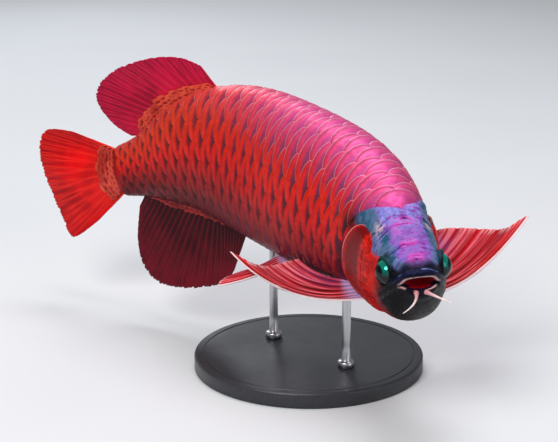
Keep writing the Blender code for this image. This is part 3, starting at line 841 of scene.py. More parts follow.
def skinFinish():
    finish, tree = newFinish("wetSkin")
    place = attribute(tree, "bodyPlace", "Vector")
    mottle = grain(tree, place, 90, 4, 0.6, 0.4)
    fleck = cells(tree, stretched(tree, place, (1, 0.7, 0.7)), 260)
    # painted shade: the skin is darkened in the hollows between the folds
    valley = remap(tree, attribute(tree, "crest"), 0.15, 0.45, 0.6, 0.0)
    colour = layTints(tree, attribute(tree, "zone", "Color"),
                      (remap(tree, mottle, 0.40, 0.75, 0.0, 0.7), (0.42, 0.36, 0.52), "MULTIPLY"),
                      (valley, (0.25, 0.22, 0.40), "MULTIPLY"))
    wrinkle = grain(tree, stretched(tree, place, (5.0, 0.8, 0.8)), 110, 4, 0.62, 0.6)
    height = sums(tree, "ADD", wrinkle, times(tree, fleck, 0.5))
    dress(tree, {"Base Color": colour, "Roughness": remap(tree, mottle, 0.3, 0.7, 0.24, 0.40),
                 "Normal": relief(tree, height, 0.9, 0.0009), "Coat Weight": 0.0, "Specular IOR Level": 0.10})
    return finish


skin = finishPiece("fish_skin", makeSkin(), skinFinish(), "crown_violet",
                   "head", "lower_jaw", "trunk_front", "trunk_rear", "tail_front", "tail_rear")
print("skin:", len(skin.data.polygons), "faces")

# scales: solid plates in staggered rows over the skin, each raised towards its free rim
scales = {
    "firstColumn": 0.2475,
    "columnStep": 0.01625,
    "columns": 46,
    "firstShown": -4,
    "rows": 16,
    "arc": 0.8,
    "rootSteps": 2.3,
    "across": 8,
    "onward": 5,
    "rise": 0.0011,
    "crown": 0.00040,
    "upturn": 0.00016,
    "halfThickness": 0.00017,
    "coverWidth": 1.03,      # how far a plate reaches into the next row
    "napeGap": 0.016,
    "firstRear": 16,         # column where the rear piece begins
    "seed": 41,
}


# rows lie at even distances round the body, counted from the middle of the back
rowStations = np.linspace(-0.02, 1.0, 103)
rowPlaces = np.linspace(0, scales["rows"] / 2, 97)


def evenRows():
    angles = np.linspace(math.pi / 2, -math.pi / 2, 361)
    table = []
    for t in rowStations:
        side, height = girth(np.full(361, t), angles)
        run = np.concatenate([[0], np.cumsum(np.hypot(np.diff(side), np.diff(height)))])
        table.append(np.interp(rowPlaces / rowPlaces[-1] * run[-1], run, angles))
    return np.array(table)


rowTable = evenRows()


# rows counted from the middle of the back, from minus half of them to half
def fromBackRow(row):
    return (row + scales["rows"] / 2) % scales["rows"] - scales["rows"] / 2


def rowAngle(t, row):
    around = fromBackRow(row)
    at = np.clip((t - rowStations[0]) / (rowStations[1] - rowStations[0]), 0, len(rowStations) - 1.001)
    k = at.astype(int)
    low = np.abs(around) / (rowPlaces[1] - rowPlaces[0])
    j = np.minimum(low.astype(int), len(rowPlaces) - 2)
    a = at - k
    b = low - j
    near = rowTable[k, j] * (1 - b) + rowTable[k, j + 1] * b
    far = rowTable[k + 1, j] * (1 - b) + rowTable[k + 1, j + 1] * b
    angle = near * (1 - a) + far * a
    return np.where(around >= 0, angle, math.pi - angle)


# colours by degrees from the middle of the back, at the front and at the tail; the darker reds and maroons
# low on the flank are partly the fish's own colour and partly painted shade
scaleTints = {
    "rimFront": {0: (222, 84, 146), 30: (224, 70, 118), 50: (230, 46, 56), 66: (246, 34, 10),
                 90: (232, 16, 8), 116: (178, 6, 10), 140: (138, 6, 20), 160: (130, 26, 66),
                 180: (120, 50, 90)},
    "rimTail": {0: (240, 76, 54), 40: (250, 62, 26), 80: (242, 20, 6), 112: (170, 6, 8), 136: (118, 4, 10),
                180: (96, 6, 22)},
    "coreFront": {0: (206, 70, 142), 30: (184, 66, 128), 55: (138, 58, 92), 78: (96, 30, 54),
                  115: (86, 8, 26), 150: (104, 26, 66), 180: (116, 54, 98)},
    "coreTail": {0: (180, 34, 36), 40: (134, 44, 48), 90: (104, 14, 24), 130: (48, 3, 10), 180: (60, 6, 22)},
    # pale free rims: partly the scale's own rim colour and partly painted highlight, palest on the back
    "edge": {0: (246, 190, 214), 44: (248, 176, 188), 66: (250, 84, 40), 110: (226, 16, 10),
             180: (150, 30, 60)},
}


def scaleTint(name, back):
    knots = scaleTints[name]
    tones = np.array([shade(*tone) for tone in knots.values()])
    return np.stack([np.interp(back, list(knots), tones[:, k]) for k in range(3)], -1)


# column and row of each plate, and the furthest back that its root may lie
def platePlaces():
    found = []
    for column in range(scales["firstShown"], scales["columns"]):
        for row in range(column % 2, scales["rows"], 2):
            fromBack = min(row, scales["rows"] - row) * 360 / scales["rows"]
            tip = scales["firstColumn"] + scales["columnStep"] * (column + scales["arc"] / 2)
            border = float(smoothCurve(head["nape"], fromBack))
            if tip < border + scales["napeGap"] or (tip < 0.275 and 120 < fromBack < 172):
                continue
            first = tip - 2 * scales["columnStep"] < border + scales["napeGap"]
            found.append((column, row, border - 0.014 if first else 1.0))
    return np.array(found, float)


def makePlates(name, found, finish):
    count = len(found)
    mesh, x, p, w = platesMesh(name, scales["across"], scales["onward"], count)
    column, row, lastRoot = (found[:, k][:, None] for k in range(3))
    chance = np.random.default_rng(scales["seed"]).random((count, 3))
    step = scales["columnStep"]
    arc = np.cos(x * math.pi / 2)
    uneven = 1 + 0.05 * (chance[:, :1] - 0.5)
    tip = scales["firstColumn"] + step * (column + scales["arc"] * (arc - 0.5) * uneven)
    root = np.minimum(scales["firstColumn"] + step * (column - scales["rootSteps"]), lastRoot)
    t = root + (tip - root) * p
    place = row + np.sin(x * math.pi / 2) * scales["coverWidth"]
    turn = rowAngle(t, place)
    lift = 0.0001 + scales["rise"] * p ** 1.15 + scales["crown"] * (arc - 0.35) * (0.35 + 0.65 * p)
    lift = lift + scales["upturn"] * softStep(0.84, 1.0, p) + 0.00015 * (chance[:, 1:2] - 0.5)
    border = napeEdge(turn)
    lift = lift * softStep(border - 0.008, border + 0.008, t)
    lift = lift - 0.0012 * softFall(border - 0.007, border, t)
    half = scales["halfThickness"] * (1 - 0.45 * softStep(0.9, 1.0, p))
    small = 1 - 0.5 * softStep(0.80, 1.0, t)
    setPoints(mesh, skinPoints(t, turn, (lift + w * half) * small).reshape(-1, 3))
    faceOutward(mesh, count)
    size = (count, x.size)
    for key, values in (("inward", (tip - t) / step), ("across", x), ("chance", chance[:, 2:3])):
        setNumbers(mesh, key, spread(values, size))
    back = spread(np.abs(fromBackRow(place)) * 360 / scales["rows"], size)
    toTail = softStep(0.42, 0.80, t.ravel())[:, None]
    # painted shadow of the gill cover over the plates just behind it
    coverShadow = hump(t.ravel(), 0.240, 0.026) * hump(back, 66, 17)
    lit = 1 - 0.9 * coverShadow[:, None]
    for part in ("rim", "core"):
        tint = scaleTint(part + "Front", back) * (1 - toTail) + scaleTint(part + "Tail", back) * toTail
        setTints(mesh, part + "Tint", tint * lit)
    # the pale band at each plate's free rim: partly its own colour and partly painted highlight
    setTints(mesh, "paleEdgeAndHighlight", scaleTint("edge", back + 30 * toTail[:, 0]))
    cellWide = 0.5 / (scales["columns"] + 4)
    cellHigh = 1.0 / scales["rows"]
    left = (column - scales["firstShown"]) * cellWide * 0.96
    layUv(mesh, left + cellWide * 0.9 * p + np.where(w < 0, 0.5, 0),
          row * cellHigh + cellHigh * (0.05 + 0.9 * (x + 1) / 2))
    return finishPiece(name, mesh, finish, "scale_red")


def scaleFinish():
    finish, tree = newFinish("metallicScale")
    inward = attribute(tree, "inward")
    chance = attribute(tree, "chance")
    place = objectPlace(tree)
    ragged = grain(tree, place, 420, 3, 0.6)
    mottle = grain(tree, place, 160, 4, 0.6, 0.5)
    edge = sums(tree, "ADD", inward, times(tree, sums(tree, "SUBTRACT", ragged, 0.5), 0.5))
    # the pale band right at each plate's free rim is partly painted highlight
    colour = layTints(tree, attribute(tree, "coreTint", "Color"),
                      (remap(tree, edge, 0.45, 1.05, 1.0, 0.0), attribute(tree, "rimTint", "Color")),
                      (remap(tree, inward, 0.03, 0.13, 0.8, 0.0), attribute(tree, "paleEdgeAndHighlight", "Color")),
                      (remap(tree, mottle, 0.35, 0.75, 0.0, 0.5), (0.45, 0.35, 0.42), "MULTIPLY"),
                      (times(tree, chance, 0.18), (1.0, 0.55, 0.55), "MULTIPLY"))
    fan = strandPlace(tree, inward, times(tree, attribute(tree, "across"), 9.0), chance)
    normal = relief(tree, grain(tree, fan, 3.2, 3, 0.6), 0.35, 0.0005)
    dress(tree, {"Base Color": colour, "Roughness": remap(tree, mottle, 0.3, 0.7, 0.38, 0.52),
                 "Normal": relief(tree, ragged, 0.25, 0.0002, normal), "Metallic": 0.40,
                 "Coat Weight": 0.06, "Coat Roughness": 0.14, "Specular IOR Level": 0.18})
    return finish


scaleSkin = scaleFinish()
allPlates = platePlaces()
inFront = allPlates[:, 0] < scales["firstRear"]
makePlates("scales_front", allPlates[inFront], scaleSkin)
makePlates("scales_rear", allPlates[~inFront], scaleSkin)
print("scales:", len(allPlates), "plates")

# fins: a thin membrane with branching rays raised on both faces and a ragged free edge
# wall is the thickness at the foot and beyond it, ridge the height of a ray, and the tints are
# front, middle, rear, ray and valley
fins = {
    "notch": 0.030,
    "raggedness": 0.006,
    "dorsal": {
        "seed": 8, "rays": 20, "detail": 12, "onward": 44, "wall": (0.0012, 0.0006), "ridge": 0.00040,
        "base": (0.704, 0.905),
        "edge": ((0.734, 0.176), (0.770, 0.197), (0.826, 0.210), (0.900, 0.212), (0.965, 0.204),
                 (1.010, 0.180), (1.017, 0.145), (0.985, 0.100), (0.938, 0.068)),
        "tints": ((206, 12, 44), (184, 6, 50), (140, 3, 44), (222, 22, 72), (116, 1, 30)),
    },
    "anal": {
        "seed": 9, "rays": 26, "detail": 12, "onward": 44, "wall": (0.0012, 0.0006), "ridge": 0.00034,
        "base": (0.632, 0.930),
        "edge": ((0.655, -0.196), (0.690, -0.240), (0.750, -0.262), (0.821, -0.270), (0.897, -0.262),
                 (0.950, -0.240), (0.977, -0.200), (0.978, -0.145), (0.955, -0.078)),
        # darker than the other fins: partly the fin's own deep red and partly painted shade of the lower
        # body, darkest at the front
        "tints": ((26, 1, 6), (76, 1, 14), (104, 2, 24), (120, 3, 28), (34, 0, 8)),
    },
    "tail": {
        "seed": 10, "rays": 15, "detail": 14, "onward": 54, "wall": (0.0018, 0.0007), "ridge": 0.00040,
        "foot": 0.992,
        "reach": 0.047,
        "edge": ((1.100, 0.102), (1.156, 0.119), (1.183, 0.104), (1.197, 0.062), (1.194, 0.000),
                 (1.184, -0.062), (1.176, -0.112), (1.150, -0.117), (1.085, -0.096)),
        "tints": ((240, 34, 16), (224, 6, 14), (168, 3, 18), (246, 40, 30), (140, 2, 10)),
    },
}
# paired fins: bases are station and degrees round the body, tips are station, side and height
pectoral = {
    "rays": 7, "detail": 16, "onward": 60, "wall": (0.0016, 0.0007), "ridge": 0.00095,
    "base": ((0.207, -74), (0.252, -50)),
    "station": 0.25,
    "right": {
        "seed": 11, "sag": (0.006, -0.004, -0.052),
        "tips": ((0.479, -0.191, -0.167), (0.470, -0.178, -0.173), (0.447, -0.163, -0.176),
                 (0.420, -0.148, -0.169), (0.395, -0.135, -0.152), (0.374, -0.123, -0.132),
                 (0.352, -0.111, -0.113)),
    },
    "left": {
        "seed": 12, "sag": (-0.014, 0.0, -0.060),
        "tips": ((0.264, 0.333, -0.041), (0.272, 0.318, -0.056), (0.268, 0.290, -0.066),
                 (0.275, 0.255, -0.068), (0.288, 0.214, -0.066), (0.298, 0.175, -0.064),
                 (0.306, 0.135, -0.070)),
    },
}
pelvic = {
    "rays": 6, "detail": 12, "onward": 60, "wall": (0.0012, 0.0005), "ridge": 0.00045,
    "base": ((0.466, -70), (0.494, -66)),
    "station": 0.5,
    "right": {
        "seed": 14, "sag": (0, -0.004, -0.008),
        "tips": ((0.562, -0.142, -0.216), (0.572, -0.126, -0.212), (0.572, -0.106, -0.206),
                 (0.562, -0.086, -0.198), (0.548, -0.068, -0.190)),
    },
    "left": {"seed": 13, "sag": (0.0, 0.004, -0.008)},      # its tips follow the right fin's, drawn in
}


def alongEdge(outline, u):
    spots = np.array(outline, float)
    last = len(spots) - 1
    at = np.clip(u, 0, 1) * last
    k = np.minimum(at.astype(int), last - 1)
    w = (at - k)[:, None]
    a = spots[k]
    b = spots[k + 1]
    leave = (b - spots[np.maximum(k - 1, 0)]) / 2
    arrive = (spots[np.minimum(k + 2, last)] - a) / 2
    near = a * (2 * w ** 3 - 3 * w ** 2 + 1) + leave * (w ** 3 - 2 * w ** 2 + w)
    return near + b * (3 * w ** 2 - 2 * w ** 3) + arrive * (w ** 3 - w ** 2)


# how near a point is to the middle of a ray or one of its branches, from 0 to 1
def rayRidge(u, v, rays, width):
    place = u * (rays - 1)
    off = np.abs(place - np.rint(place))
    off = np.abs(off - 0.21 * softStep(0.30, 0.75, v))
    off = np.abs(off - 0.10 * softStep(0.62, 1.0, v))
    return np.exp(-(off / (width * (1 - 0.45 * v))) ** 2)


def makeFin(name, node, fin, edges, sagAt, finish, width=0.16, lead=0.0):
    rays = fin["rays"]
    longer = np.random.default_rng(fin["seed"]).normal(0, fins["raggedness"], rays * 4)
    mesh, u, v, w = slabMesh(name, (rays - 1) * fin["detail"], fin["onward"])
    rootAt, tipAt = edges

    def surfaceAt(u, v):
        crest = rayRidge(u, np.ones_like(u), rays, 0.16)
        ragged = np.interp(u * len(longer), np.arange(len(longer)), longer)
        reach = 1 - fins["notch"] * (1 - crest) * (0.6 + 12 * np.abs(ragged)) + ragged * 0.8
        start = rootAt(u)
        end = start + (tipAt(u) - start) * reach[:, None]
        return start + (end - start) * v[:, None] + sagAt(u) * (4 * v * (1 - v))[:, None]

    crest = rayRidge(u, v, rays, width)
    foot, beyond = fin["wall"]
    half = (foot * (1 - v) ** 3 + beyond * (1 - 0.45 * v)) / 2 + fin["ridge"] * (1 - 0.72 * v) * crest
    half = half + lead * hump(u, 0.026, 0.026) * (1 - 0.5 * v)
    edge = softStep(0.0, 0.004, np.minimum(u, 1 - u)) * softStep(0.0, 0.012, 1 - v)
    bendSlab(mesh, u, v, w, surfaceAt, half * (0.35 + 0.65 * edge))
    for key, values in (("ray", crest), ("acrossFin", u), ("alongRay", v), ("face", w)):
        setNumbers(mesh, key, values)
    return finishPiece(name, mesh, finish, "fin_crimson", node)


# the foot and the free edge of a fin that stands on the middle plane of the body
def middleEdges(footAt, outline):
    def rootAt(u):
        t, height = footAt(u)
        return bodyPoints(t, 0 * u, height)

    def tipAt(u):
        spots = alongEdge(outline, u)
        return bodyPoints(spots[:, 0], 0 * u, spots[:, 1])

    return rootAt, tipAt


def medianEdges(fin, line, sunk):
    def footAt(u):
        t = fin["base"][0] + (fin["base"][1] - fin["base"][0]) * u
        return t, smoothCurve(line, t) - sunk

    return middleEdges(footAt, fin["edge"])


def tailEdges(fin):
    return middleEdges(lambda u: (fin["foot"] + 0 * u, fin["reach"] * (1 - 2 * u)), fin["edge"])


def noSag(u):
    return np.zeros((len(u), 3))


def tailSag(u):
    left = np.array(frameAt(1.1)[2])
    return left[None, :] * (0.0045 * np.sin(3 * math.pi * u))[:, None]


def pairedFin(name, node, fin, sign, finish):
    station = fin["station"]
    centre, ahead, left, up = (np.array(part) for part in frameAt(station))
    (firstAt, firstTurn), (lastAt, lastTurn) = fin["base"]

    def rootAt(u):
        t = firstAt + (lastAt - firstAt) * u
        angle = np.radians(firstTurn + (lastTurn - firstTurn) * u)
        return skinPoints(t, angle if sign > 0 else math.pi - angle, -0.0012)

    def tipAt(u):
        back, side, height = alongEdge(fin["tips"], u).T * fishLength
        back = back - station * fishLength
        return centre - ahead * back[:, None] + left * side[:, None] + up * height[:, None]

    def sagAt(u):
        back, side, height = fin["sag"]
        pull = left * side + up * height - ahead * back
        return pull[None, :] * (fishLength * (1 - 0.75 * u))[:, None]

    return makeFin(name, node, fin, (rootAt, tipAt), sagAt, finish, 0.27, 0.0008)


# small overlapping plates over the foot of a fin, on both of its faces
sheath = {
    "across": 6,
    "onward": 4,
    "halfThickness": 0.00020,
    "rise": 0.0009,
    "dorsal": {"rows": 4, "wide": 18, "reach": 0.24, "seed": 51},
    "anal": {"rows": 2, "wide": 24, "reach": 0.10, "seed": 52},
    "tail": {"rows": 5, "wide": 9, "reach": 0.26, "seed": 53},
}


def makeSheath(name, edges, sagAt, thickAt, finish):
    rows, wide, reach, seed = (sheath[name][key] for key in ("rows", "wide", "reach", "seed"))
    spots = [(row, place) for row in range(rows)
             for place in np.arange(0.65 + 0.5 * (row % 2), wide - 0.62, 1.0)]
    found = np.array([(*spot, side) for side in (-1.0, 1.0) for spot in spots])
    count = len(found)
    mesh, x, p, w = platesMesh(name, sheath["across"], sheath["onward"], count)
    row, place, face = (found[:, k][:, None] for k in range(3))
    uneven = np.random.default_rng(seed).random((count, 2))
    arc = np.cos(x * math.pi / 2)
    length = reach / rows
    tip = length * (row + 1 + 0.75 * (arc - 0.5) + (0.3 + 0.25 * row) * (uneven[:, :1] - 0.5))
    root = length * (row - 1.2)
    size = (count, x.size)
    v = (root + (tip - root) * p).ravel()
    u = spread((place + 0.62 * np.sin(x * math.pi / 2)) / wide, size)
    rootAt, tipAt = edges
    start = rootAt(u)
    spot = start + (tipAt(u) - start) * v[:, None] + sagAt(u) * (4 * v * (1 - v))[:, None]
    sideways = along(bendLeft, bodyPlaces(spot)[0])
    lift = thickAt(u, np.maximum(v, 0)) + sheath["rise"] * spread(p, size)
    lift = lift + sheath["halfThickness"] * spread(w, size)
    setPoints(mesh, spot + sideways * (spread(face, size) * lift)[:, None])
    faceOutward(mesh, count)
    setNumbers(mesh, "inward", spread((1 - p) * 1.4, size))
    setNumbers(mesh, "chance", spread(uneven[:, 1:], size))
    layUv(mesh, (place + 0.45 * x + 0.5) / (wide + 1) * 0.5 + (face > 0) * 0.5,
          (row + 0.9 * p + 0 * x) / (rows + 1))
    return finishPiece(name + "_sheath", mesh, finish, "scale_red")


def sheathFinish(name, rim, core):
    finish, tree = newFinish(name)
    place = objectPlace(tree)
    cloud = grain(tree, place, 60, 3, 0.6)
    colour = layTints(tree, core,
                      (remap(tree, attribute(tree, "inward"), 0.12, 0.62, 1.0, 0.0), rim),
                      (remap(tree, cloud, 0.45, 0.66, 0.0, 0.6), core),
                      (times(tree, attribute(tree, "chance"), 0.5), (0.8, 0.25, 0.25), "MULTIPLY"))
    normal = relief(tree, grain(tree, place, 900, 3, 0.6), 0.3, 0.0002)
    dress(tree, {"Base Color": colour, "Roughness": remap(tree, cloud, 0.3, 0.7, 0.30, 0.42),
                 "Normal": normal, "Metallic": 0.35,
                 "Coat Weight": 0.1, "Coat Roughness": 0.14, "Specular IOR Level": 0.25})
    return finish


def rayPlace(tree):
    return strandPlace(tree, times(tree, attribute(tree, "acrossFin"), 90.0),
                       times(tree, attribute(tree, "alongRay"), 2.2))


def finFinish(name, tints):
    front, middle, rear, rayTint, valley = (shade(*tone) for tone in tints)
    finish, tree = newFinish(name)
    onward = attribute(tree, "alongRay")
    strand = rayPlace(tree)
    streak = grain(tree, strand, 1.6, 4, 0.65, 0.2)
    cloud = grain(tree, objectPlace(tree), 26, 3, 0.55)
    onRay = times(tree, attribute(tree, "ray"), remap(tree, streak, 0.3, 0.7, 0.15, 0.9))
    colour = layTints(tree, front,
                      (remap(tree, onward, 0.0, 0.55), middle),
                      (remap(tree, onward, 0.55, 1.0), rear),
                      (remap(tree, cloud, 0.40, 0.66, 0.0, 0.7), valley),
                      (onRay, rayTint),
                      (remap(tree, streak, 0.28, 0.46, 0.6, 0.0), valley))
    joints = grain(tree, stretched(tree, strand, (0.4, 30, 1)), 2.0, 2, 0.5)
    normal = relief(tree, joints, 0.25, 0.0003, relief(tree, streak, 0.5, 0.0005))
    dress(tree, {"Base Color": colour, "Roughness": remap(tree, cloud, 0.3, 0.7, 0.34, 0.50),
                 "Normal": normal, "Coat Weight": 0.04, "Coat Roughness": 0.20, "Specular IOR Level": 0.12})
    return finish


# paired fins: white leading ray and ray tips, pale ridges, deep red between, violet by the body
def pairedFinish(name, violetShare):
    finish, tree = newFinish(name)
    ray = attribute(tree, "ray")
    onward = attribute(tree, "alongRay")
    across = attribute(tree, "acrossFin")
    strand = rayPlace(tree)
    streak = grain(tree, strand, 1.1, 4, 0.65, 0.2)
    broad = grain(tree, stretched(tree, strand, (0.30, 0.8, 1)), 1.0, 3, 0.6, 0.2)
    pale = times(tree, remap(tree, ray, 0.50, 0.95), remap(tree, broad, 0.38, 0.60, 0.95, 0.15))
    violet = times(tree, remap(tree, across, 0.62, 0.88), remap(tree, onward, 0.62, 0.98, 1.0, 0.0))
    violet = times(tree, violet, remap(tree, streak, 0.42, 0.56, 0.0, violetShare))
    tips = times(tree, remap(tree, onward, 0.945, 0.985), remap(tree, ray, 0.75, 0.95))
    tips = times(tree, tips, remap(tree, across, 0.3, 0.6, 0.9, 0.2))
    colour = layTints(tree, shade(244, 30, 6),
                      (remap(tree, across, 0.15, 0.60), shade(216, 4, 28)),
                      (remap(tree, broad, 0.40, 0.62, 0.0, 0.9), shade(170, 2, 26)),
                      (remap(tree, ray, 0.05, 0.45, 0.9, 0.0), shade(84, 1, 12)),
                      (pale, shade(252, 126, 140)),
                      (remap(tree, streak, 0.60, 0.72, 0.0, 0.6), shade(252, 84, 70)),
                      (violet, shade(112, 104, 214)),
                      (times(tree, remap(tree, onward, 0.08, 0.20, 1.0, 0.0), 0.85), shade(186, 150, 196)),
                      (remap(tree, across, 0.050, 0.072, 1.0, 0.0), shade(252, 222, 226)),
                      (tips, shade(252, 214, 214)))
    dress(tree, {"Base Color": colour, "Roughness": remap(tree, broad, 0.3, 0.7, 0.28, 0.44),
                 "Normal": relief(tree, streak, 0.5, 0.0006),
                 "Coat Weight": 0.06, "Coat Roughness": 0.16, "Specular IOR Level": 0.15})
    return finish


dorsalEdges = medianEdges(fins["dorsal"], body["back"], 0.006)
analEdges = medianEdges(fins["anal"], body["belly"], -0.006)
caudalEdges = tailEdges(fins["tail"])
for label, part, edges, sagAt, finishName in (
        ("dorsal", "dorsal", dorsalEdges, noSag, "dorsalCrimson"),
        ("anal", "anal", analEdges, noSag, "analCrimson"),
        ("caudal", "tail", caudalEdges, tailSag, "tailScarlet")):
    finish = finFinish(finishName, fins[part]["tints"])
    makeFin(label + "_rays", label + "_fin", fins[part], edges, sagAt, finish)


# half the thickness of a fin's foot, and of the body running into the tail fin
def medianFoot(u, v):
    return 0.0006 * (1 - v) ** 3 + 0.00055 + 0.0012 * np.maximum(0, 1 - v / 0.10)


def tailFoot(u, v):
    return 0.0009 * (1 - v) ** 3 + 0.0006 + 0.0036 * np.maximum(0, 1 - v / 0.16) * np.sin(math.pi * u) ** 0.5


sheathRed = sheathFinish("sheathOrange", shade(252, 92, 62), shade(150, 6, 14))
# a darker copy of the orange sheath for the anal fin's foot: painted shade of the lower body
shadedSheath = sheathFinish("sheathCrimsonInShade", shade(170, 20, 16), shade(80, 4, 10))
makeSheath("dorsal", dorsalEdges, noSag, medianFoot, sheathRed)
makeSheath("anal", analEdges, noSag, medianFoot, shadedSheath)
makeSheath("tail", caudalEdges, tailSag, tailFoot, sheathRed)
paired = pairedFinish("pectoralScarlet", 0.15)
pairedViolet = pairedFinish("pectoralViolet", 1.0)
pelvic["left"]["tips"] = [(t + 0.012, -side * 0.66, height + 0.004)
                          for t, side, height in pelvic["right"]["tips"]]
for label, part, side, sign, finish in (("pectoral", pectoral, "right", -1, paired),
                                        ("pectoral", pectoral, "left", 1, pairedViolet),
                                        ("pelvic", pelvic, "left", 1, paired),
                                        ("pelvic", pelvic, "right", -1, paired)):
    pairedFin(side + "_" + label + "_rays", label + "_fin_" + side, {**part, **part[side]}, sign, finish)
print("fins made")

bothSides = (("left", 1), ("right", -1))

# gill covers: two bony plates a side with a soft pale rim, standing off behind
cover = {
    "top": 38,
    "low": -76,
    "front": 0.122,
    "frontBend": 0.028,
    "rim": 0.187,
    "rimSwell": 0.050,
    "thickness": 0.0022,
    "flare": {"left": 0.0008, "right": 0.0022},
    "across": 90,
    "onward": 60,
}


def makeCover(label, sign, finish):
    mesh, u, v, w = slabMesh("cover" + label, cover["onward"], cover["across"])
    flare = cover["flare"][label]

    def surfaceAt(u, v):
        angle = np.radians(cover["top"] + (cover["low"] - cover["top"]) * v)
        rim = cover["rim"] + cover["rimSwell"] * np.sin(math.pi * v ** 0.75)
        rim = rim + 0.0012 * np.sin(26 * v) * np.sin(math.pi * v)
        front = cover["front"] + cover["frontBend"] * (1 - np.sin(math.pi * v ** 0.8))
        t = front + (rim - front) * u
        seam = hump(u, 0.30 + 0.10 * v, 0.022)
        seam = seam + 0.8 * hump(v, 0.70 + 0.08 * u, 0.014) * softStep(0.25, 0.4, u)
        rays = np.sin((v - 0.35) / (0.12 + u) * 22) * softStep(0.35, 0.6, u) * softFall(0.80, 0.92, u)
        wave = 0.0005 * np.sin(9 * v + 4 * u) * u
        sunk = 0.0016 * softFall(0.0, 0.20, u)
        sunk = sunk + 0.0010 * softFall(0.0, 0.06, v) * softFall(0.5, 0.8, u)
        lift = 0.0007 + flare * u ** 2.2 - 0.0006 * seam + 0.00010 * rays + wave - sunk
        return skinPoints(t, angle if sign > 0 else math.pi - angle, lift)

    border = np.minimum(np.minimum(u * 3, (1 - u) * 6 + 0.35), np.minimum(v * 9 + 0.2, (1 - v) * 12 + 0.3))
    half = cover["thickness"] / 2 * np.clip(border, 0.2, 1) * (1 - 0.6 * softStep(0.88, 0.97, u))
    normal = bendSlab(mesh, u, v, w, surfaceAt, half)
    outward = np.sign((normal * (surfaceAt(u, v) - along(bendCentre, 0.19 + 0 * u))).sum(1, keepdims=True))
    setPoints(mesh, meshPoints(mesh) + normal * outward * half[:, None])
    faceOutward(mesh)
    setNumbers(mesh, "toRim", u)
    setNumbers(mesh, "downCover", v)
    return finishPiece("gill_plate_" + label, mesh, finish, "gill_cover_red", "gill_cover_" + label)


def coverFinish():
    finish, tree = newFinish("gillPlate")
    toRim = attribute(tree, "toRim")
    down = attribute(tree, "downCover")
    place = objectPlace(tree)
    strand = strandPlace(tree, times(tree, toRim, 2.4), times(tree, down, 16.0))
    streak = grain(tree, strand, 2.0, 4, 0.6, 0.7)
    cloud = grain(tree, place, 60, 3, 0.6, 0.5)
    dark = times(tree, remap(tree, toRim, 0.36, 0.52), remap(tree, down, 0.30, 0.70, 1.0, 0.55))
    dark = times(tree, dark, remap(tree, toRim, 0.80, 0.94, 0.92, 0.45))
    rim = times(tree, remap(tree, toRim, 0.976, 0.992), remap(tree, down, 0.25, 0.50, 0.9, 0.15))
    colour = layTints(tree, shade(150, 4, 8),
                      (remap(tree, streak, 0.36, 0.66), shade(232, 32, 12)),
                      (remap(tree, cloud, 0.45, 0.72, 0.0, 0.6), shade(130, 4, 12)),
                      (dark, shade(104, 3, 8)),
                      (rim, shade(240, 150, 156)))
    normal = relief(tree, grain(tree, place, 700, 3, 0.6), 0.2, 0.0002, relief(tree, streak, 0.4, 0.0006))
    dress(tree, {"Base Color": colour, "Roughness": remap(tree, cloud, 0.3, 0.7, 0.28, 0.42),
                 "Normal": normal, "Coat Weight": 0.03, "Coat Roughness": 0.14, "Specular IOR Level": 0.12})
    return finish


gillPlate = coverFinish()
for label, sign in bothSides:
    makeCover(label, sign, gillPlate)


# eyes: a glossy ball with a raised clear front, coloured by the angle from its axis and by height: teal
# above, partly its own colour and partly painted highlight, and black below, partly painted shade
def eyeFinish():
    finish, tree = newFinish("tealEye")
    off = attribute(tree, "offAxis")
    upper = attribute(tree, "upper")
    fleck = grain(tree, objectPlace(tree), 900, 4, 0.65, 1.2)
    iris = layTints(tree, shade(6, 40, 44),
                    (remap(tree, upper, 0.0, 0.6), shade(6, 128, 112)),
                    (remap(tree, fleck, 0.48, 0.70, 0.0, 0.7), shade(40, 190, 150)),
                    # the lower half painted black, partly as shade
                    (remap(tree, upper, -0.15, 0.22, 1.0, 0.0), shade(4, 6, 8)))
    colour = layTints(tree, iris,
                      (remap(tree, off, 0.36, 0.42, 1.0, 0.0), (0.002, 0.003, 0.004)),
                      (remap(tree, off, 0.86, 0.97), shade(10, 12, 18)))
    dress(tree, {"Base Color": colour, "Roughness": 0.10, "Metallic": remap(tree, upper, -0.1, 0.5, 0.0, 0.5),
                 "Coat Weight": 0.25, "Coat Roughness": 0.02, "Specular IOR Level": 0.2})
    return finish


def makeEye(label, sign, finish):
    centre, across, upward, outward = eyeAxes(sign)
    radius = eye["radius"]
    shape = bmesh.new()
    bmesh.ops.create_uvsphere(shape, u_segments=56, v_segments=36, radius=radius)
    for vert in shape.verts:
        x, y, z = vert.co
        bulge = 1 + eye["bulge"] * max(0.0, z / radius - 0.6) / 0.4
        vert.co = centre + across * x + upward * y + outward * (z * bulge)
    mesh = toMesh(shape, "eye" + label)
    rays = unit(meshPoints(mesh) - np.array(centre))
    setNumbers(mesh, "offAxis", np.arccos(np.clip(rays @ np.array(outward), -1, 1)) / (math.pi / 2))
    setNumbers(mesh, "upper", rays @ np.array(upward))
    return finishPiece("eyeball_" + label, mesh, finish, "eye_dark", "eye_" + label)


tealEye = eyeFinish()
for label, sign in bothSides:
    makeEye(label, sign, tealEye)

# barbels: two soft tapered feelers at the tip of the chin
barbel = {
    "base": (-0.0188, 0.009, 0.0165),
    "left": ((0.008, 0.009, -0.0035), (0.012, 0.018, -0.007)),       # bend and tip: ahead, aside, up
    "right": ((0.008, 0.0004, -0.0064), (0.012, 0.0135, -0.0113)),
    "radius": 0.00140,
    "steps": 18,
    "rings": 40,
}


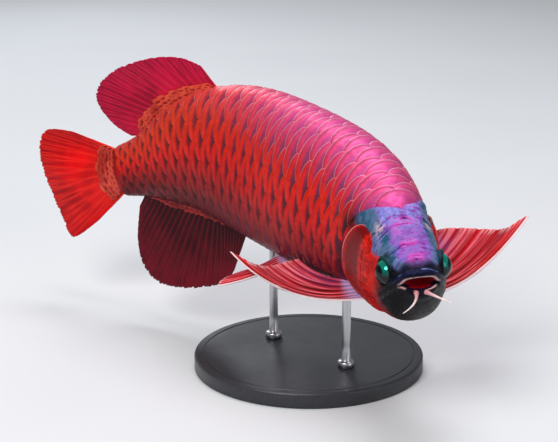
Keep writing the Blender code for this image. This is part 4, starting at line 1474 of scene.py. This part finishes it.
def tubeAlong(name, spots, radii, steps):
    spots = np.array(spots, float)
    lead = unit(np.gradient(spots, axis=0))
    side = unit(np.cross(lead, (0.0, 0.0, 1.0)))
    over = np.cross(side, lead)

    def pointsAt(ring, step):
        turn = 2 * math.pi * step / steps
        return spots[ring] + radii[ring][:, None] * (side[ring] * np.cos(turn)[:, None]
                                                    + over[ring] * np.sin(turn)[:, None])

    return toMesh(tubeShape(len(spots), steps, pointsAt), name)


def makeBarbel(label, sign, finish):
    _, ahead, left, up = (np.array(part) for part in frameAt(-0.01))
    w = np.linspace(-0.06, 1, barbel["rings"])
    t, side, height = barbel["base"]
    base = np.array(bodyPoint(t, side * sign, height))
    bend, tip = (ahead * x + left * (sign * y) + up * z for x, y, z in barbel[label])
    spots = base + np.outer(2 * w * (1 - w), bend) + np.outer(w * w, tip)
    roundTip = np.sqrt(np.clip((1.0 - w) / 0.03, 0.02, 1))
    radii = barbel["radius"] * (1 - 0.78 * np.clip(w, 0, 1) ** 0.9) * roundTip
    radii = radii * (1 + 0.55 * np.exp(-np.clip(w, 0, 1) / 0.10))
    mesh = tubeAlong("barbel" + label, spots, radii, barbel["steps"])
    setNumbers(mesh, "outAlong", np.clip(((meshPoints(mesh) - base) @ ahead) / tip.dot(ahead), 0, 1))
    return finishPiece("chin_barbel_" + label, mesh, finish, "barbel_pale", "barbel_" + label)


def barbelFinish():
    finish, tree = newFinish("palePinkSkin")
    out = attribute(tree, "outAlong")
    fleck = grain(tree, objectPlace(tree), 800, 3, 0.6)
    colour = blendTints(tree, remap(tree, out, 0.0, 0.8), shade(196, 120, 128), shade(236, 214, 212))
    colour = blendTints(tree, remap(tree, fleck, 0.5, 0.7, 0.0, 0.4), colour, shade(170, 96, 108))
    dress(tree, {"Base Color": colour, "Roughness": 0.38, "Normal": relief(tree, fleck, 0.3, 0.0002),
                 "Subsurface Weight": 0.2, "Subsurface Scale": 0.002})
    return finish


paleBarbel = barbelFinish()
for label, sign in bothSides:
    makeBarbel(label, sign, paleBarbel)
print("gill covers, eyes and barbels made")

# display stand: a round base with a soft edge and two rods up to the belly
stand = {
    "radius": 0.105,
    "thickness": 0.014,
    "bevel": 0.0022,
    "groove": (0.93, 0.927, 0.915, 0.912),      # its two walls, in shares of the radius
    "grooveDepth": 0.0006,
    "rodRadius": 0.004,
    "collarRadius": 0.0075,
    "collarHeight": 0.006,
}


def baseFinish():
    finish, tree = newFinish("satinGraphite")
    place = objectPlace(tree)
    speck = grain(tree, place, 900, 3, 0.7)
    cloud = grain(tree, place, 14, 4, 0.6)
    colour = blendTints(tree, remap(tree, speck, 0.4, 0.65), shade(46, 47, 51), shade(62, 63, 68))
    colour = blendTints(tree, remap(tree, cloud, 0.4, 0.7, 0.0, 0.35), colour, shade(38, 39, 42))
    dress(tree, {"Base Color": colour, "Roughness": remap(tree, cloud, 0.3, 0.7, 0.36, 0.48),
                 "Normal": relief(tree, speck, 0.15, 0.0002), "Metallic": 0.3})
    return finish


def steelFinish():
    finish, tree = newFinish("brushedSteel")
    brush = grain(tree, stretched(tree, objectPlace(tree), (900, 900, 12)), 1.0, 3, 0.6)
    colour = blendTints(tree, brush, shade(168, 168, 172), shade(206, 206, 210))
    dress(tree, {"Base Color": colour, "Roughness": remap(tree, brush, 0.3, 0.7, 0.22, 0.36),
                 "Normal": relief(tree, brush, 0.12, 0.0002), "Metallic": 1.0})
    return finish


def roundTurning(name, spot, profile, steps):
    shape = bmesh.new()
    chain = [shape.verts.new((spot[0] + radius, spot[1], height)) for radius, height in profile]
    for first, second in zip(chain, chain[1:]):
        shape.edges.new((first, second))
    bmesh.ops.spin(shape, geom=shape.verts[:] + shape.edges[:], cent=(spot[0], spot[1], 0), axis=(0, 0, 1),
                   dvec=(0, 0, 0), angle=2 * math.pi, steps=steps, use_merge=True, use_normal_flip=False,
                   use_duplicate=False)
    bmesh.ops.remove_doubles(shape, verts=shape.verts, dist=1e-6)
    bmesh.ops.holes_fill(shape, edges=[edge for edge in shape.edges if edge.is_boundary], sides=0)
    return toMesh(shape, name)


def makeStand():
    radius = stand["radius"]
    high = stand["thickness"]
    soft = stand["bevel"]
    profile = [(radius - 0.0010, 0.0), (radius, 0.0010)]
    for k in range(9):
        turn = math.pi / 2 * k / 8
        profile.append((radius - soft + soft * math.cos(turn), high - soft + soft * math.sin(turn)))
    depths = (0, stand["grooveDepth"], stand["grooveDepth"], 0)
    profile += [(radius * share, high - depth) for share, depth in zip(stand["groove"], depths)]
    profile += [(radius * 0.5, high), (0.004, high)]
    base = finishPiece("stand_disc", roundTurning("standDisc", (0, 0), profile, 128), baseFinish(),
                       "stand_graphite", "stand_base")
    sharp = base.modifiers.new("edges", "EDGE_SPLIT")
    sharp.split_angle = math.radians(50)
    steel = steelFinish()
    for label in ("front", "rear"):
        low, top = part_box("stand_rod_" + label)
        spot = ((low.x + top.x) / 2, (low.y + top.y) / 2)
        rod = stand["rodRadius"]
        wide = stand["collarRadius"]
        foot = low.z
        collar = foot + stand["collarHeight"]
        profile = [(0.0004, foot), (wide - 0.0006, foot), (wide, foot + 0.0006), (wide, collar - 0.0010),
                   (wide - 0.0010, collar), (rod + 0.0005, collar), (rod, collar + 0.0005)]
        profile += [(rod, foot + (top.z - foot) * share) for share in (0.25, 0.5, 0.75, 0.97)]
        profile += [(rod * 0.8, top.z - 0.0002), (0.0004, top.z)]
        finishPiece("stand_post_" + label, roundTurning("standPost", spot, profile, 40), steel,
                    "rod_steel", "stand_rod_" + label)


makeStand()
print("stand made")
